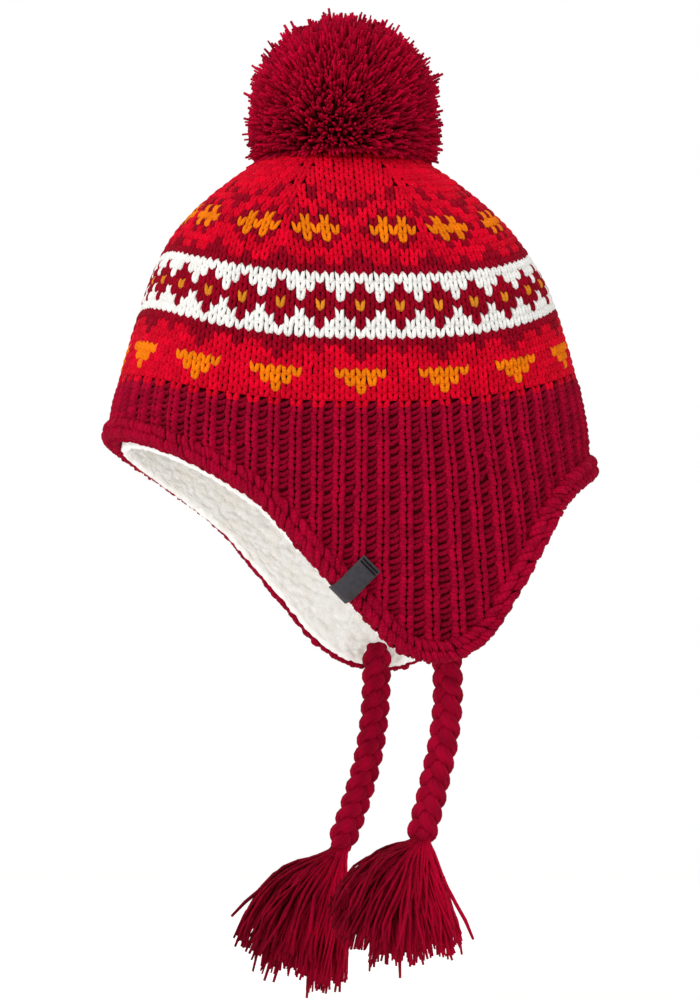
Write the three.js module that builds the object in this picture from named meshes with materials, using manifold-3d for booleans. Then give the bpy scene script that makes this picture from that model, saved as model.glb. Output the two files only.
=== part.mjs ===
// A child's knitted earflap cap, in millimetres, +Z up.
// The front of the cap faces -Y and the wearer's left is +X. The origin is the middle of the
// head opening, at the height of the front edge, where the cap sits on a head.
// The crown, the ribbed band with its two ear flaps, and the fleece lining are thin walls that
// follow one surface. A thick rolled edge closes them below, and a pompom sits on the crown.
// A plaited tie is sewn inside each flap and ends in a tassel.

import * as THREE from 'three';
import { mergeVertices } from 'three/addons/utils/BufferGeometryUtils.js';
import Module from 'manifold-3d';

const wasm = await Module();
wasm.setup();

// Plan section: a rounded oval, longer than it is wide, and rounder towards the top
const WIDTH_SHARE = 0.73;
const TOP_WIDTH_SHARE = 0.82;
const CORNER_POWER = 2.4;

// Walls, from the outer face of the knitting inwards
const KNIT_WALL = 3.2;
const FLEECE_WALL = 4.5;
const SEAT_GAP = 0.4;
const SEAM_GAP = 0.3;

// Ribbing of the band: 64 ribs of one knit column between purl grooves
const RIB_COUNT = 64;
const RIB_RELIEF = 0.9;
const RIB_CREST_SHARE = 0.28;

// Border between band and crown, along the surface above the origin's level: it droops at the
// sides, and rises a little from front to back
const BORDER_LENGTH = 27.5;
const SIDE_DROOP = 18;
const DROOP_POWER = 2.5;
const DROOP_FADE = 1.8;
const BORDER_TILT = 0.025;

// Rolled edge round the opening
const ROLL_RADIUS = 4.2;
const ROLL_INSET = 2.2;
const ROLL_SIDES = 6;
const ROLL_STEPS = 80;
const KNIT_END = ROLL_RADIUS + 0.5;
const FLEECE_END = ROLL_RADIUS + 0.8;

// Lip of the fleece that hides the rolled edge's inner side
const LIP_THICKNESS = 1.8;
const LIP_RISE = 0.6;
const LIP_GAP = 0.5;

// Ear flaps lean in towards the cheeks below the origin's level
const FLAP_TUCK = 0.18;
const FLAP_DEPTH = 94;
const TUCK_POWER = 1.6;

// The top of the crown leans a little to the front
const CROWN_LEAN = 2.5;
const LEAN_START = 50;
const LEAN_SPAN = 50;

// Columns and rows of the walls' facets
const WALL_COLUMNS = 64;
const LINING_COLUMNS = 32;
const BAND_ROWS = 6;
const CROWN_ROWS = [0, 0.14, 0.28, 0.42, 0.55, 0.68, 0.8, 0.91];
const COVER_START = 0.4;

// Half length of the cap, front to back, and height, up the middle of the front
const PROFILE = [
  // half length, height
  [101.0, -100],
  [101.0, -50],
  [101.2, -22],
  [100.4, 0],
  [98.6, 12.6],
  [96.0, 25.2],
  [92.6, 37.8],
  [88.7, 50.4],
  [84.4, 63.0],
  [78.3, 75.6],
  [69.9, 88.2],
  [57.3, 100.8],
  [41.0, 113.4],
  [29.0, 119.8],
  [15.0, 124.8],
  [0.0, 126.5],
];

// Lower edge of cap and flaps: place from front (-) to back (+), and height
const RIM = [
  // place, height
  [-101, -1.5],
  [-80, -11.5],
  [-62, -22],
  [-46, -33.5],
  [-31, -51.5],
  [-18, -68],
  [-4.5, -84.5],
  [8, -93],
  [23, -95.7],
  [37, -93],
  [50, -83.5],
  [61, -65.5],
  [70, -49],
  [77, -35.5],
  [86, -24.5],
  [101, -14.5],
];

// Pompom: a squat ball of yarn in locks, one lock on each facet of its core
const POMPOM = {
  centre: new THREE.Vector3(0, -1.8, 140),
  radius: 41,
  coreShare: 0.74,
  lockTipShare: 0.55,
  detail: 2,
  lengthSpread: 0.07,
  undersideSwell: 0.12,
};

// Ties: routes of the plaits' centre lines, from the stitching inside the flap to the tassel
const PLAIT_DIAMETER = 12.4;
const PLAIT_SIDES = 10;
const PLAIT_STEPS = 6;
const LEFT_ROUTE = [
  [44.2, 32.6, -85.5],
  [44.2, 33.0, -91.5],
  [44.1, 33.4, -97.5],
  [44.0, 33.6, -103.5],
  [43.8, 33.6, -109.5],
  [43.7, 33.2, -115.5],
  [43.6, 32.5, -121.5],
  [43.5, 31.6, -127.5],
  [43.4, 30.4, -133.5],
  [43.4, 28.9, -139.5],
  [43.3, 27.6, -145.5],
  [43.3, 26.2, -151.5],
  [43.2, 24.8, -156.5],
  [43.2, 23.5, -161.5],
  [43.2, 22.4, -166.5],
];
const RIGHT_ROUTE = [
  [-45.3, 20.9, -84],
  [-45.2, 20.6, -90],
  [-45, 20.4, -96],
  [-44.6, 20.2, -102],
  [-44.3, 19.9, -108],
  [-44.1, 19.3, -115],
  [-43.9, 18.4, -122],
  [-43.7, 17.2, -129],
  [-43.6, 15.7, -136],
  [-43.6, 13.8, -143],
  [-43.5, 11.7, -150],
  [-43.5, 9.6, -156],
  [-43.4, 7.5, -162],
  [-43.4, 5.6, -167],
  [-43.4, 4.0, -172],
];

// Tassels: where the locks of the fan bend and end, from the head, forwards to backwards.
// Along is +Y and drop is down.
const TASSEL = {
  headRadius: 4.6,
  headSpread: 1.15,
  headLength: 9,
  lockRadius: 6,
  lockTaper: [0.45, 0.9, 1, 0.83],
  lockSides: 4,
  depth: 13,
  bendDepthShare: 0.6,
  edgeShare: 0.15,
  lockPairs: 6,
};
const LEFT_FAN = [
  // bend along, bend drop, end along, end drop
  [-21, 0, -36, 25],
  [-12, 12, -22, 36],
  [-3, 16, 0, 42],
  [9, 8, 19, 33],
];
const RIGHT_FAN = [
  // bend along, bend drop, end along, end drop
  [-24, 4, -41, 31],
  [-15, 12, -26, 40],
  [-5, 18, -10, 48],
  [5, 14, 4, 49],
];

// Tab of woven tape, folded round the front edge of the left flap. Its bend starts on the
// outer face, half of pi round the rolled edge, and ends at bendEnd times pi.
const TAB = {
  place: -15.5,
  length: 14.5,
  width: 11,
  thickness: 0.9,
  clearance: 0.6,
  bendSteps: 6,
  bendEnd: 1.27,
};

const COLOURS = {
  brightRed: '#d8001e',
  crimsonRib: '#a00024',
  fleece: '#ece8e0',
  pompom: '#9c0a26',
  tab: '#4a464c',
};

// Fixed sequence of numbers between 0 and 1, the same in every run
function makeRandom(seed) {
  let state = seed;
  return () => {
    state = (state * 16807) % 2147483647;
    return state / 2147483647;
  };
}

function lerp(a, b, share) {
  return a + (b - a) * share;
}

// Reads a rising table by straight lines between its rows
function readAt(xs, ys, x) {
  let low = 0;
  let high = xs.length - 1;
  if (x <= xs[0]) return ys[0];
  if (x >= xs[high]) return ys[high];
  while (high - low > 1) {
    const middle = (low + high) >> 1;
    if (xs[middle] > x) high = middle;
    else low = middle;
  }
  return lerp(ys[low], ys[high], (x - xs[low]) / (xs[high] - xs[low]));
}

// Smooth curve through a table's first two columns, as many short chords
function smoothColumns(rows) {
  const chordsPerRow = 24;
  const curve = new THREE.SplineCurve(rows.map(([a, b]) => new THREE.Vector2(a, b)));
  const points = curve.getPoints(chordsPerRow * (rows.length - 1));
  return { first: points.map((p) => p.x), second: points.map((p) => p.y) };
}

// Length along a chain of points given by two lists, up to each point
function lengthsAlong(first, second) {
  const lengths = [0];
  for (let i = 1; i < first.length; i += 1) {
    lengths.push(lengths[i - 1] + Math.hypot(first[i] - first[i - 1], second[i] - second[i - 1]));
  }
  return lengths;
}

const profile = smoothColumns(PROFILE);
const profileRun = lengthsAlong(profile.first, profile.second);
const runAtOrigin = readAt(profile.second, profileRun, 0);
const profileLengths = profileRun.map((length) => length - runAtOrigin);
const APEX_LENGTH = profileLengths[profileLengths.length - 1];
const HALF_LENGTH = readAt(profileLengths, profile.first, 0);
const rim = smoothColumns(RIM);

// Distance from the middle to the oval, for a half length of 1, in a direction from the front
function ovalReach(angle, widthShare) {
  const along = Math.abs(Math.cos(angle)) ** CORNER_POWER;
  const across = (Math.abs(Math.sin(angle)) / widthShare) ** CORNER_POWER;
  return (along + across) ** (-1 / CORNER_POWER);
}

// The direction at which each share of the oval's girth lies, from the front over the left
const GIRTH_STEPS = 2048;
const girthAngles = [];
for (let i = 0; i <= GIRTH_STEPS; i += 1) girthAngles.push((i / GIRTH_STEPS) * Math.PI * 2);
const girthRun = lengthsAlong(
  girthAngles.map((angle) => ovalReach(angle, WIDTH_SHARE) * Math.sin(angle)),
  girthAngles.map((angle) => -ovalReach(angle, WIDTH_SHARE) * Math.cos(angle)),
);
const UNIT_GIRTH = girthRun[GIRTH_STEPS];
const BAND_GIRTH = UNIT_GIRTH * HALF_LENGTH;

function girthAngle(share) {
  const turn = share - Math.floor(share);
  return readAt(girthRun, girthAngles, turn * UNIT_GIRTH);
}

// Point on the outer face of the knitting: share of the girth, and length up the profile
function facePoint(share, length) {
  const halfLength = readAt(profileLengths, profile.first, length);
  const height = readAt(profileLengths, profile.second, length);
  const angle = girthAngle(share);
  const roundness = THREE.MathUtils.smoothstep(height, 0, PROFILE.at(-1)[1]);
  const reach = halfLength * ovalReach(angle, lerp(WIDTH_SHARE, TOP_WIDTH_SHARE, roundness));
  const tuck = FLAP_TUCK * (Math.max(0, -height) / FLAP_DEPTH) ** TUCK_POWER;
  const lean = CROWN_LEAN * THREE.MathUtils.smoothstep(height, LEAN_START, LEAN_START + LEAN_SPAN);
  return new THREE.Vector3(
    reach * Math.sin(angle) * (1 - tuck),
    -reach * Math.cos(angle) - lean,
    height,
  );
}

function faceNormal(share, length) {
  const shareStep = 1 / 1024;
  const lengthStep = 0.5;
  if (length > APEX_LENGTH - 2 * lengthStep) return new THREE.Vector3(0, 0, 1);
  const round = facePoint(share + shareStep, length).sub(facePoint(share - shareStep, length));
  const up = facePoint(share, length + lengthStep).sub(facePoint(share, length - lengthStep));
  return round.cross(up).normalize();
}

// Point at a depth below the outer face
function wallPoint(share, length, depth) {
  return facePoint(share, length).addScaledVector(faceNormal(share, length), -depth);
}

// Place of a column from front to back, at the origin's level
function columnPlace(share) {
  return facePoint(share, 0).y;
}

// Height of the line that keeps a distance above the cap's lower edge, at a column
function heightAboveRim(share, distance) {
  const steps = 24;
  let best = -Infinity;
  for (let i = -steps; i <= steps; i += 1) {
    const aside = (i / steps) * distance;
    const edge = readAt(rim.first, rim.second, columnPlace(share + aside / BAND_GIRTH));
    best = Math.max(best, edge + Math.sqrt(distance ** 2 - aside ** 2));
  }
  return best;
}

// Length up the profile of a crown course: 0 is the border above the ribbing, 1 the apex.
// The courses hang lower at the sides than at front and back.
function courseLength(share, course) {
  const place = columnPlace(share);
  const sideways = 1 - Math.min(1, Math.abs(place) / HALF_LENGTH) ** DROOP_POWER;
  const droop = (SIDE_DROOP * sideways - BORDER_TILT * place) * (1 - course ** DROOP_FADE);
  return lerp(BORDER_LENGTH, APEX_LENGTH, course) - droop;
}

// Closed solid gathered from rings of points
class RingSolid {
  constructor() {
    this.positions = [];
    this.triangles = [];
  }

  addPoint(point) {
    this.positions.push(point.x, point.y, point.z);
    return this.positions.length / 3 - 1;
  }

  addRing(points) {
    return points.map((point) => this.addPoint(point));
  }

  bridge(lower, upper) {
    const count = lower.length;
    for (let i = 0; i < count; i += 1) {
      const next = (i + 1) % count;
      this.triangles.push(lower[i], lower[next], upper[next]);
      this.triangles.push(lower[i], upper[next], upper[i]);
    }
  }

  // Joins two rings of different counts, each with its points' shares of one turn
  zip(lower, lowerShares, upper, upperShares) {
    let a = 0;
    let b = 0;
    const shareAt = (shares, i) => (i < shares.length ? shares[i] : shares[i - shares.length] + 1);
    while (a < lower.length || b < upper.length) {
      const nextLower = a < lower.length ? shareAt(lowerShares, a + 1) : Infinity;
      const nextUpper = b < upper.length ? shareAt(upperShares, b + 1) : Infinity;
      const here = lower[a % lower.length];
      const there = upper[b % upper.length];
      if (nextLower <= nextUpper) {
        a += 1;
        this.triangles.push(here, lower[a % lower.length], there);
      } else {
        b += 1;
        this.triangles.push(here, upper[b % upper.length], there);
      }
    }
  }

  fan(ring, tip) {
    for (let i = 0; i < ring.length; i += 1) {
      this.triangles.push(ring[i], ring[(i + 1) % ring.length], tip);
    }
  }

  geometry() {
    const geometry = new THREE.BufferGeometry();
    geometry.setAttribute('position', new THREE.Float32BufferAttribute(this.positions, 3));
    geometry.setIndex(this.triangles);
    return geometry;
  }
}

function evenShares(count) {
  return Array.from({ length: count }, (_, i) => i / count);
}

function wallRing(shares, lengthAt, depthAt) {
  return shares.map((share, i) => wallPoint(share, lengthAt(share), depthAt(share, i)));
}

// Crown: a dome of knitting, open below
function makeCrown() {
  const solid = new RingSolid();
  const shares = evenShares(WALL_COLUMNS);
  const faces = [0, KNIT_WALL].map((depth) => {
    const rings = CROWN_ROWS.map((course) => {
      const lift = course === 0 ? SEAM_GAP / 2 : 0;
      const lengthAt = (share) => courseLength(share, course) + lift;
      return solid.addRing(wallRing(shares, lengthAt, () => depth));
    });
    return { rings, tip: solid.addPoint(wallPoint(0, APEX_LENGTH, depth)) };
  });
  const [outer, inner] = faces;
  for (let i = 1; i < CROWN_ROWS.length; i += 1) {
    solid.bridge(outer.rings[i - 1], outer.rings[i]);
    solid.bridge(inner.rings[i], inner.rings[i - 1]);
  }
  solid.fan(outer.rings.at(-1), outer.tip);
  solid.fan([...inner.rings.at(-1)].reverse(), inner.tip);
  solid.bridge(inner.rings[0], outer.rings[0]);
  return solid.geometry();
}

// Length up the profile of a band row: 0 is just above the rolled edge, 1 the border
function bandLength(share, row, wallEnd, topGap) {
  return lerp(heightAboveRim(share, ROLL_RADIUS + wallEnd), courseLength(share, 0) - topGap, row);
}

// Ribbed band with both ear flaps: crests and grooves outside, plain inside
function makeRibbedBand() {
  const solid = new RingSolid();
  const ribShares = [];
  const ribDepths = [];
  for (let rib = 0; rib < RIB_COUNT; rib += 1) {
    for (const [place, depth] of [
      [-RIB_CREST_SHARE, -RIB_RELIEF],
      [RIB_CREST_SHARE, -RIB_RELIEF],
      [0.5, RIB_RELIEF],
    ]) {
      ribShares.push((rib + place) / RIB_COUNT);
      ribDepths.push(depth);
    }
  }
  const innerShares = evenShares(WALL_COLUMNS);
  const outer = [];
  const inner = [];
  for (let i = 0; i <= BAND_ROWS; i += 1) {
    const lengthAt = (share) => bandLength(share, i / BAND_ROWS, KNIT_END, SEAM_GAP / 2);
    outer.push(solid.addRing(wallRing(ribShares, lengthAt, (_, column) => ribDepths[column])));
    inner.push(solid.addRing(wallRing(innerShares, lengthAt, () => KNIT_WALL)));
  }
  for (let i = 1; i <= BAND_ROWS; i += 1) {
    solid.bridge(outer[i - 1], outer[i]);
    solid.bridge(inner[i], inner[i - 1]);
  }
  solid.zip(inner[0], innerShares, outer[0], ribShares);
  solid.zip(outer[BAND_ROWS], ribShares, inner[BAND_ROWS], innerShares);
  return solid.geometry();
}

// Fleece lining inside crown, band and flaps
function makeLining() {
  const solid = new RingSolid();
  const shares = evenShares(LINING_COLUMNS);
  const lengthsAt = [];
  for (let i = 0; i < BAND_ROWS; i += 1) {
    lengthsAt.push((share) => bandLength(share, i / BAND_ROWS, FLEECE_END, 0));
  }
  for (const course of CROWN_ROWS) lengthsAt.push((share) => courseLength(share, course));
  const outerDepth = KNIT_WALL + SEAT_GAP;
  const faces = [outerDepth, outerDepth + FLEECE_WALL].map((depth) => ({
    rings: lengthsAt.map((lengthAt) => solid.addRing(wallRing(shares, lengthAt, () => depth))),
    tip: solid.addPoint(wallPoint(0, APEX_LENGTH, depth)),
  }));
  const [outer, inner] = faces;
  for (let i = 1; i < lengthsAt.length; i += 1) {
    solid.bridge(outer.rings[i - 1], outer.rings[i]);
    solid.bridge(inner.rings[i], inner.rings[i - 1]);
  }
  solid.fan(outer.rings.at(-1), outer.tip);
  solid.fan([...inner.rings.at(-1)].reverse(), inner.tip);
  const lipDepth = ROLL_INSET + ROLL_RADIUS + LIP_GAP;
  const lipFoot = (share) => heightAboveRim(share, LIP_RISE);
  const lip = [
    wallRing(shares, lipFoot, () => lipDepth + LIP_THICKNESS),
    wallRing(shares, lipFoot, () => lipDepth),
    wallRing(shares, lengthsAt[0], () => lipDepth),
  ].map((points) => solid.addRing(points));
  [inner.rings[0], ...lip].forEach((ring, i) => solid.bridge(ring, [...lip, outer.rings[0]][i]));
  return solid.geometry();
}

// Middle of the rolled edge at a share of the girth, with its directions:
// out of the cap, along the edge, and up into the knitting
function rollFrame(share) {
  const centreAt = (at) => wallPoint(at, heightAboveRim(at, ROLL_RADIUS), ROLL_INSET);
  const step = 1 / 512;
  const centre = centreAt(share);
  const along = centreAt(share + step).sub(centreAt(share - step)).normalize();
  const normal = faceNormal(share, heightAboveRim(share, ROLL_RADIUS));
  const up = normal.clone().cross(along).normalize();
  const out = along.clone().cross(up);
  return { centre, along, out, up };
}

function makeRolledEdge() {
  const solid = new RingSolid();
  const rings = evenShares(ROLL_STEPS).map((share) => {
    const { centre, out, up } = rollFrame(share);
    const points = [];
    for (let i = 0; i < ROLL_SIDES; i += 1) {
      const angle = ((i + 0.5) / ROLL_SIDES) * Math.PI * 2;
      points.push(
        centre
          .clone()
          .addScaledVector(out, ROLL_RADIUS * Math.cos(angle))
          .addScaledVector(up, -ROLL_RADIUS * Math.sin(angle)),
      );
    }
    return solid.addRing(points);
  });
  rings.forEach((ring, i) => solid.bridge(ring, rings[(i + 1) % rings.length]));
  return solid.geometry();
}

// Turns a closed geometry into a solid that can be joined and cut
function toSolid(geometry) {
  const bare = geometry.clone();
  bare.deleteAttribute('normal');
  bare.deleteAttribute('uv');
  const merged = mergeVertices(bare, 1e-4);
  return new wasm.Manifold(
    new wasm.Mesh({
      numProp: 3,
      vertProperties: new Float32Array(merged.attributes.position.array),
      triVerts: new Uint32Array(merged.index.array),
    }),
  );
}

function fromSolid(solid) {
  const mesh = solid.getMesh();
  const geometry = new THREE.BufferGeometry();
  geometry.setAttribute('position', new THREE.BufferAttribute(mesh.vertProperties, 3));
  geometry.setIndex(new THREE.BufferAttribute(mesh.triVerts, 1));
  return geometry;
}

// The space under the pompom: the crown's outer face, raised by the seat gap
function makeCrownCover() {
  const solid = new RingSolid();
  const shares = evenShares(LINING_COLUMNS);
  const courses = CROWN_ROWS.filter((course) => course > COVER_START);
  const rings = courses.map((course) => {
    const lengthAt = (share) => courseLength(share, course);
    return solid.addRing(wallRing(shares, lengthAt, () => -SEAT_GAP));
  });
  rings.slice(1).forEach((ring, i) => solid.bridge(rings[i], ring));
  const top = solid.addPoint(wallPoint(0, APEX_LENGTH, -SEAT_GAP));
  solid.fan(rings.at(-1), top);
  const bottom = solid.addPoint(facePoint(0.25, courseLength(0.25, courses[0])).setX(0));
  solid.fan([...rings[0]].reverse(), bottom);
  return solid.geometry();
}

// Pompom: locks of yarn standing on the facets of a core, hollowed below to sit on the crown
function makePompom() {
  const random = makeRandom(11);
  const ball = new THREE.IcosahedronGeometry(1, POMPOM.detail).attributes.position;
  const positions = [];
  const facet = [new THREE.Vector3(), new THREE.Vector3(), new THREE.Vector3()];
  const reachOf = (direction, share) => {
    const swell = 1 + POMPOM.undersideSwell * Math.max(0, -direction.z) ** 2;
    return direction.clone().normalize().multiplyScalar(POMPOM.radius * share * swell);
  };
  const push = (...points) => points.forEach((p) => positions.push(...p.clone().add(POMPOM.centre)));
  for (let i = 0; i < ball.count; i += 3) {
    facet.forEach((corner, j) => corner.fromBufferAttribute(ball, i + j));
    const middle = facet[0].clone().add(facet[1]).add(facet[2]).divideScalar(3);
    const length = 1 + POMPOM.lengthSpread * (random() - 0.5) * 2;
    const base = facet.map((corner) => reachOf(corner, POMPOM.coreShare));
    const tip = facet.map((corner) => reachOf(middle.clone().lerp(corner, POMPOM.lockTipShare), length));
    for (let j = 0; j < 3; j += 1) {
      const k = (j + 1) % 3;
      push(base[j], base[k], tip[k]);
      push(base[j], tip[k], tip[j]);
    }
    push(tip[0], tip[1], tip[2]);
  }
  const geometry = new THREE.BufferGeometry();
  geometry.setAttribute('position', new THREE.Float32BufferAttribute(positions, 3));
  return fromSolid(toSolid(geometry).subtract(toSolid(makeCrownCover())));
}

// Tapered lock or head along a path, with a radius at each of its points
function makeStrand(path, radii, sides) {
  const solid = new RingSolid();
  const rings = path.map((point, i) => {
    const before = path[Math.max(0, i - 1)];
    const after = path[Math.min(path.length - 1, i + 1)];
    const along = after.clone().sub(before).normalize();
    const aside = new THREE.Vector3(1, 0, 0);
    const across = along.clone().cross(aside).normalize();
    aside.copy(across).cross(along);
    const points = [];
    for (let side = 0; side < sides; side += 1) {
      const angle = ((side + 0.5) / sides) * Math.PI * 2;
      points.push(
        point
          .clone()
          .addScaledVector(across, radii[i] * Math.cos(angle))
          .addScaledVector(aside, -radii[i] * Math.sin(angle)),
      );
    }
    return solid.addRing(points);
  });
  rings.slice(1).forEach((ring, i) => solid.bridge(rings[i], ring));
  solid.fan([...rings[0]].reverse(), solid.addPoint(path[0]));
  solid.fan(rings.at(-1), solid.addPoint(path.at(-1)));
  return solid.geometry();
}

// Tassel: locks in two layers that fan out of a tied head under the plait's end
function makeTassel(route, fan) {
  const end = new THREE.Vector3(...route.at(-1));
  const before = new THREE.Vector3(...route.at(-2));
  const along = end.clone().sub(before).normalize();
  const top = end.clone().addScaledVector(along, SEAM_GAP);
  const foot = top.clone().addScaledVector(along, TASSEL.headLength);
  const headRadii = [TASSEL.headRadius, TASSEL.headRadius * TASSEL.headSpread];
  let tassel = toSolid(makeStrand([top, foot], headRadii, 2 * TASSEL.lockSides));
  const fanShares = evenShares(fan.length).map((_, i) => i / (fan.length - 1));
  const column = (index) => fan.map((row) => row[index]);
  for (let i = 0; i < TASSEL.lockPairs; i += 1) {
    const share = i / (TASSEL.lockPairs - 1);
    const [bendAlong, bendDrop, endAlong, endDrop] = [0, 1, 2, 3].map((index) =>
      readAt(fanShares, column(index), share),
    );
    for (const layer of [-1, 1]) {
      const around = Math.PI * lerp(TASSEL.edgeShare, 1 - TASSEL.edgeShare, share);
      const depth = layer * TASSEL.depth * Math.sin(around);
      const start = foot.clone().addScaledVector(along, -TASSEL.lockRadius / 2);
      const bendDepth = depth * TASSEL.bendDepthShare;
      const bend = foot.clone().add(new THREE.Vector3(bendDepth, bendAlong, -bendDrop));
      const tip = foot.clone().add(new THREE.Vector3(depth, endAlong, -endDrop + layer));
      const steps = TASSEL.lockTaper.length - 1;
      const path = new THREE.QuadraticBezierCurve3(start, bend, tip).getPoints(steps);
      const radii = TASSEL.lockTaper.map((share) => share * TASSEL.lockRadius);
      const lock = makeStrand(path, radii, TASSEL.lockSides);
      tassel = tassel.add(toSolid(lock));
    }
  }
  return fromSolid(tassel);
}

// Plait: the plain round outline of a three-strand plait along its route
function makePlait(route) {
  const outline = new THREE.Shape(
    Array.from({ length: PLAIT_SIDES }, (_, i) => {
      const angle = (i / PLAIT_SIDES) * Math.PI * 2;
      return new THREE.Vector2(Math.cos(angle), Math.sin(angle)).multiplyScalar(PLAIT_DIAMETER / 2);
    }),
  );
  const path = new THREE.CatmullRomCurve3(route.map((point) => new THREE.Vector3(...point)));
  return new THREE.ExtrudeGeometry(outline, { steps: PLAIT_STEPS, extrudePath: path });
}

// Tab: a strip folded round the rolled edge, its section drawn across the edge.
// The section's x runs up into the knitting and its y out of the cap.
function makeTab() {
  const half = TAB.thickness / 2;
  const bendRadius = ROLL_RADIUS + TAB.clearance + half;
  const outerLevel = ROLL_INSET + RIB_RELIEF + TAB.clearance + half;
  const middle = [new THREE.Vector2(TAB.length, outerLevel), new THREE.Vector2(ROLL_RADIUS + 1, outerLevel)];
  for (let i = 0; i <= TAB.bendSteps; i += 1) {
    const angle = Math.PI * lerp(0.5, TAB.bendEnd, i / TAB.bendSteps);
    middle.push(new THREE.Vector2(bendRadius * Math.cos(angle), bendRadius * Math.sin(angle)));
  }
  const offset = (side) =>
    middle.map((point, i) => {
      const before = middle[Math.max(0, i - 1)];
      const after = middle[Math.min(middle.length - 1, i + 1)];
      const run = after.clone().sub(before).normalize();
      return point.clone().add(new THREE.Vector2(-run.y, run.x).multiplyScalar(side * half));
    });
  const outline = new THREE.Shape([...offset(1), ...offset(-1).reverse()]);
  const strip = new THREE.ExtrudeGeometry(outline, { depth: TAB.width, bevelEnabled: false });
  return strip.translate(0, 0, -TAB.width / 2);
}

// Share of the girth on the left side whose column lies at a place from front to back
function leftShareAt(place) {
  let low = 0;
  let high = 0.5;
  for (let i = 0; i < 40; i += 1) {
    const middle = (low + high) / 2;
    if (columnPlace(middle) < place) low = middle;
    else high = middle;
  }
  return (low + high) / 2;
}

const cap = new THREE.Group();

function addPiece(name, geometry, colour, roughness) {
  const bare = geometry.index ? geometry.toNonIndexed() : geometry.clone();
  bare.deleteAttribute('normal');
  bare.deleteAttribute('uv');
  const merged = mergeVertices(bare, 1e-4);
  merged.computeVertexNormals();
  const material = new THREE.MeshStandardMaterial({ color: colour, roughness, metalness: 0 });
  const piece = new THREE.Mesh(merged, material);
  piece.name = name;
  cap.add(piece);
  return piece;
}

addPiece('crown', makeCrown(), COLOURS.brightRed, 0.9);
addPiece('ribbed_band', makeRibbedBand(), COLOURS.crimsonRib, 0.9);
addPiece('rolled_edge', makeRolledEdge(), COLOURS.crimsonRib, 0.9);
addPiece('fleece_lining', makeLining(), COLOURS.fleece, 1);
addPiece('pompom', makePompom(), COLOURS.pompom, 0.95);
addPiece('braid_left', makePlait(LEFT_ROUTE), COLOURS.crimsonRib, 0.9);
addPiece('braid_right', makePlait(RIGHT_ROUTE), COLOURS.crimsonRib, 0.9);
addPiece('tassel_left', makeTassel(LEFT_ROUTE, LEFT_FAN), COLOURS.pompom, 0.95);
addPiece('tassel_right', makeTassel(RIGHT_ROUTE, RIGHT_FAN), COLOURS.pompom, 0.95);

const tab = addPiece('side_tab', makeTab(), COLOURS.tab, 0.8);
const tabSeat = rollFrame(leftShareAt(TAB.place));
tab.matrix.makeBasis(tabSeat.up, tabSeat.out, tabSeat.along.clone().negate());
tab.matrix.setPosition(tabSeat.centre);
tab.matrix.decompose(tab.position, tab.quaternion, tab.scale);

export default cap;
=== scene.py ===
"""A child's knitted earflap cap: patterned crown, ribbed band with ear flaps, sherpa fleece lining,
yarn pompom, and a plaited tie with a tassel on each flap.

Shapes are worked out in millimetres and turned to metres where a mesh is made.
The front of the cap faces -Y, the wearer's left is +X and up is +Z.
"""

import math
from itertools import product

import bpy
import numpy as np
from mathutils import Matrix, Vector


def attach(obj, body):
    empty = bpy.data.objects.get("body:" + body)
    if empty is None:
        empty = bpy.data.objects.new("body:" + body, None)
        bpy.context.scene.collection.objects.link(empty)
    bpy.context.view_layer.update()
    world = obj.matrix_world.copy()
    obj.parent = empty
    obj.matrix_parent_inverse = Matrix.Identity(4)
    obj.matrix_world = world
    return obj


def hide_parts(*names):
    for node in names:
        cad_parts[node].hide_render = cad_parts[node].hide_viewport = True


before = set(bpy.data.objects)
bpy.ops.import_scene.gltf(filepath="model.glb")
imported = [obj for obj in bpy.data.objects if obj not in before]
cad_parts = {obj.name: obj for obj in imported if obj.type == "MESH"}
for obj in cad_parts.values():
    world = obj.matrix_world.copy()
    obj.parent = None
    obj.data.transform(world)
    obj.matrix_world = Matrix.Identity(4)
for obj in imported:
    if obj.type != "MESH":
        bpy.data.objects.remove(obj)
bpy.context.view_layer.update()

MM = 0.001

# Cap's surface, as in the part's source: rounded oval sections on one profile
WIDTH_SHARE = 0.73
TOP_WIDTH_SHARE = 0.82
CORNER_POWER = 2.4
FLAP_TUCK = 0.18
FLAP_DEPTH = 94
TUCK_POWER = 1.6
CROWN_LEAN = 2.5
LEAN_START = 50
LEAN_SPAN = 50
PROFILE = [
    # half length, height
    (101.0, -100),
    (101.0, -50),
    (101.2, -22),
    (100.4, 0),
    (98.6, 12.6),
    (96.0, 25.2),
    (92.6, 37.8),
    (88.7, 50.4),
    (84.4, 63.0),
    (78.3, 75.6),
    (69.9, 88.2),
    (57.3, 100.8),
    (41.0, 113.4),
    (29.0, 119.8),
    (15.0, 124.8),
    (0.0, 126.5),
]
RIM = [
    # place from front to back, height
    (-101, -1.5),
    (-80, -11.5),
    (-62, -22),
    (-46, -33.5),
    (-31, -50.5),
    (-18, -66.5),
    (-4.5, -82.5),
    (8, -91.5),
    (23, -95),
    (37, -93),
    (50, -83.5),
    (61, -65.5),
    (70, -49),
    (77, -35.5),
    (86, -24.5),
    (101, -14.5),
]
# The left flap's front edge is cut this much higher, round a place from front to back
LEFT_CUT = 5.5
LEFT_CUT_PLACE = -6
LEFT_CUT_SPAN = 15

# Walls and borders
KNIT_WALL = 3.2
FLEECE_WALL = 4.5
SEAT_GAP = 0.4
BORDER_TILT = 0.025
DROOP_POWER = 2.5
ROLL_RADIUS = 4.2
ROLL_INSET = 2.2
KNIT_END = ROLL_RADIUS + 0.5
FLEECE_END = ROLL_RADIUS + 0.8
LIP_THICKNESS = 1.8
LIP_GAP = 0.5

# Knitting: 128 columns round, every second one a rib of the band
COLUMNS = 128
CROWN_ROWS = 39
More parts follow.
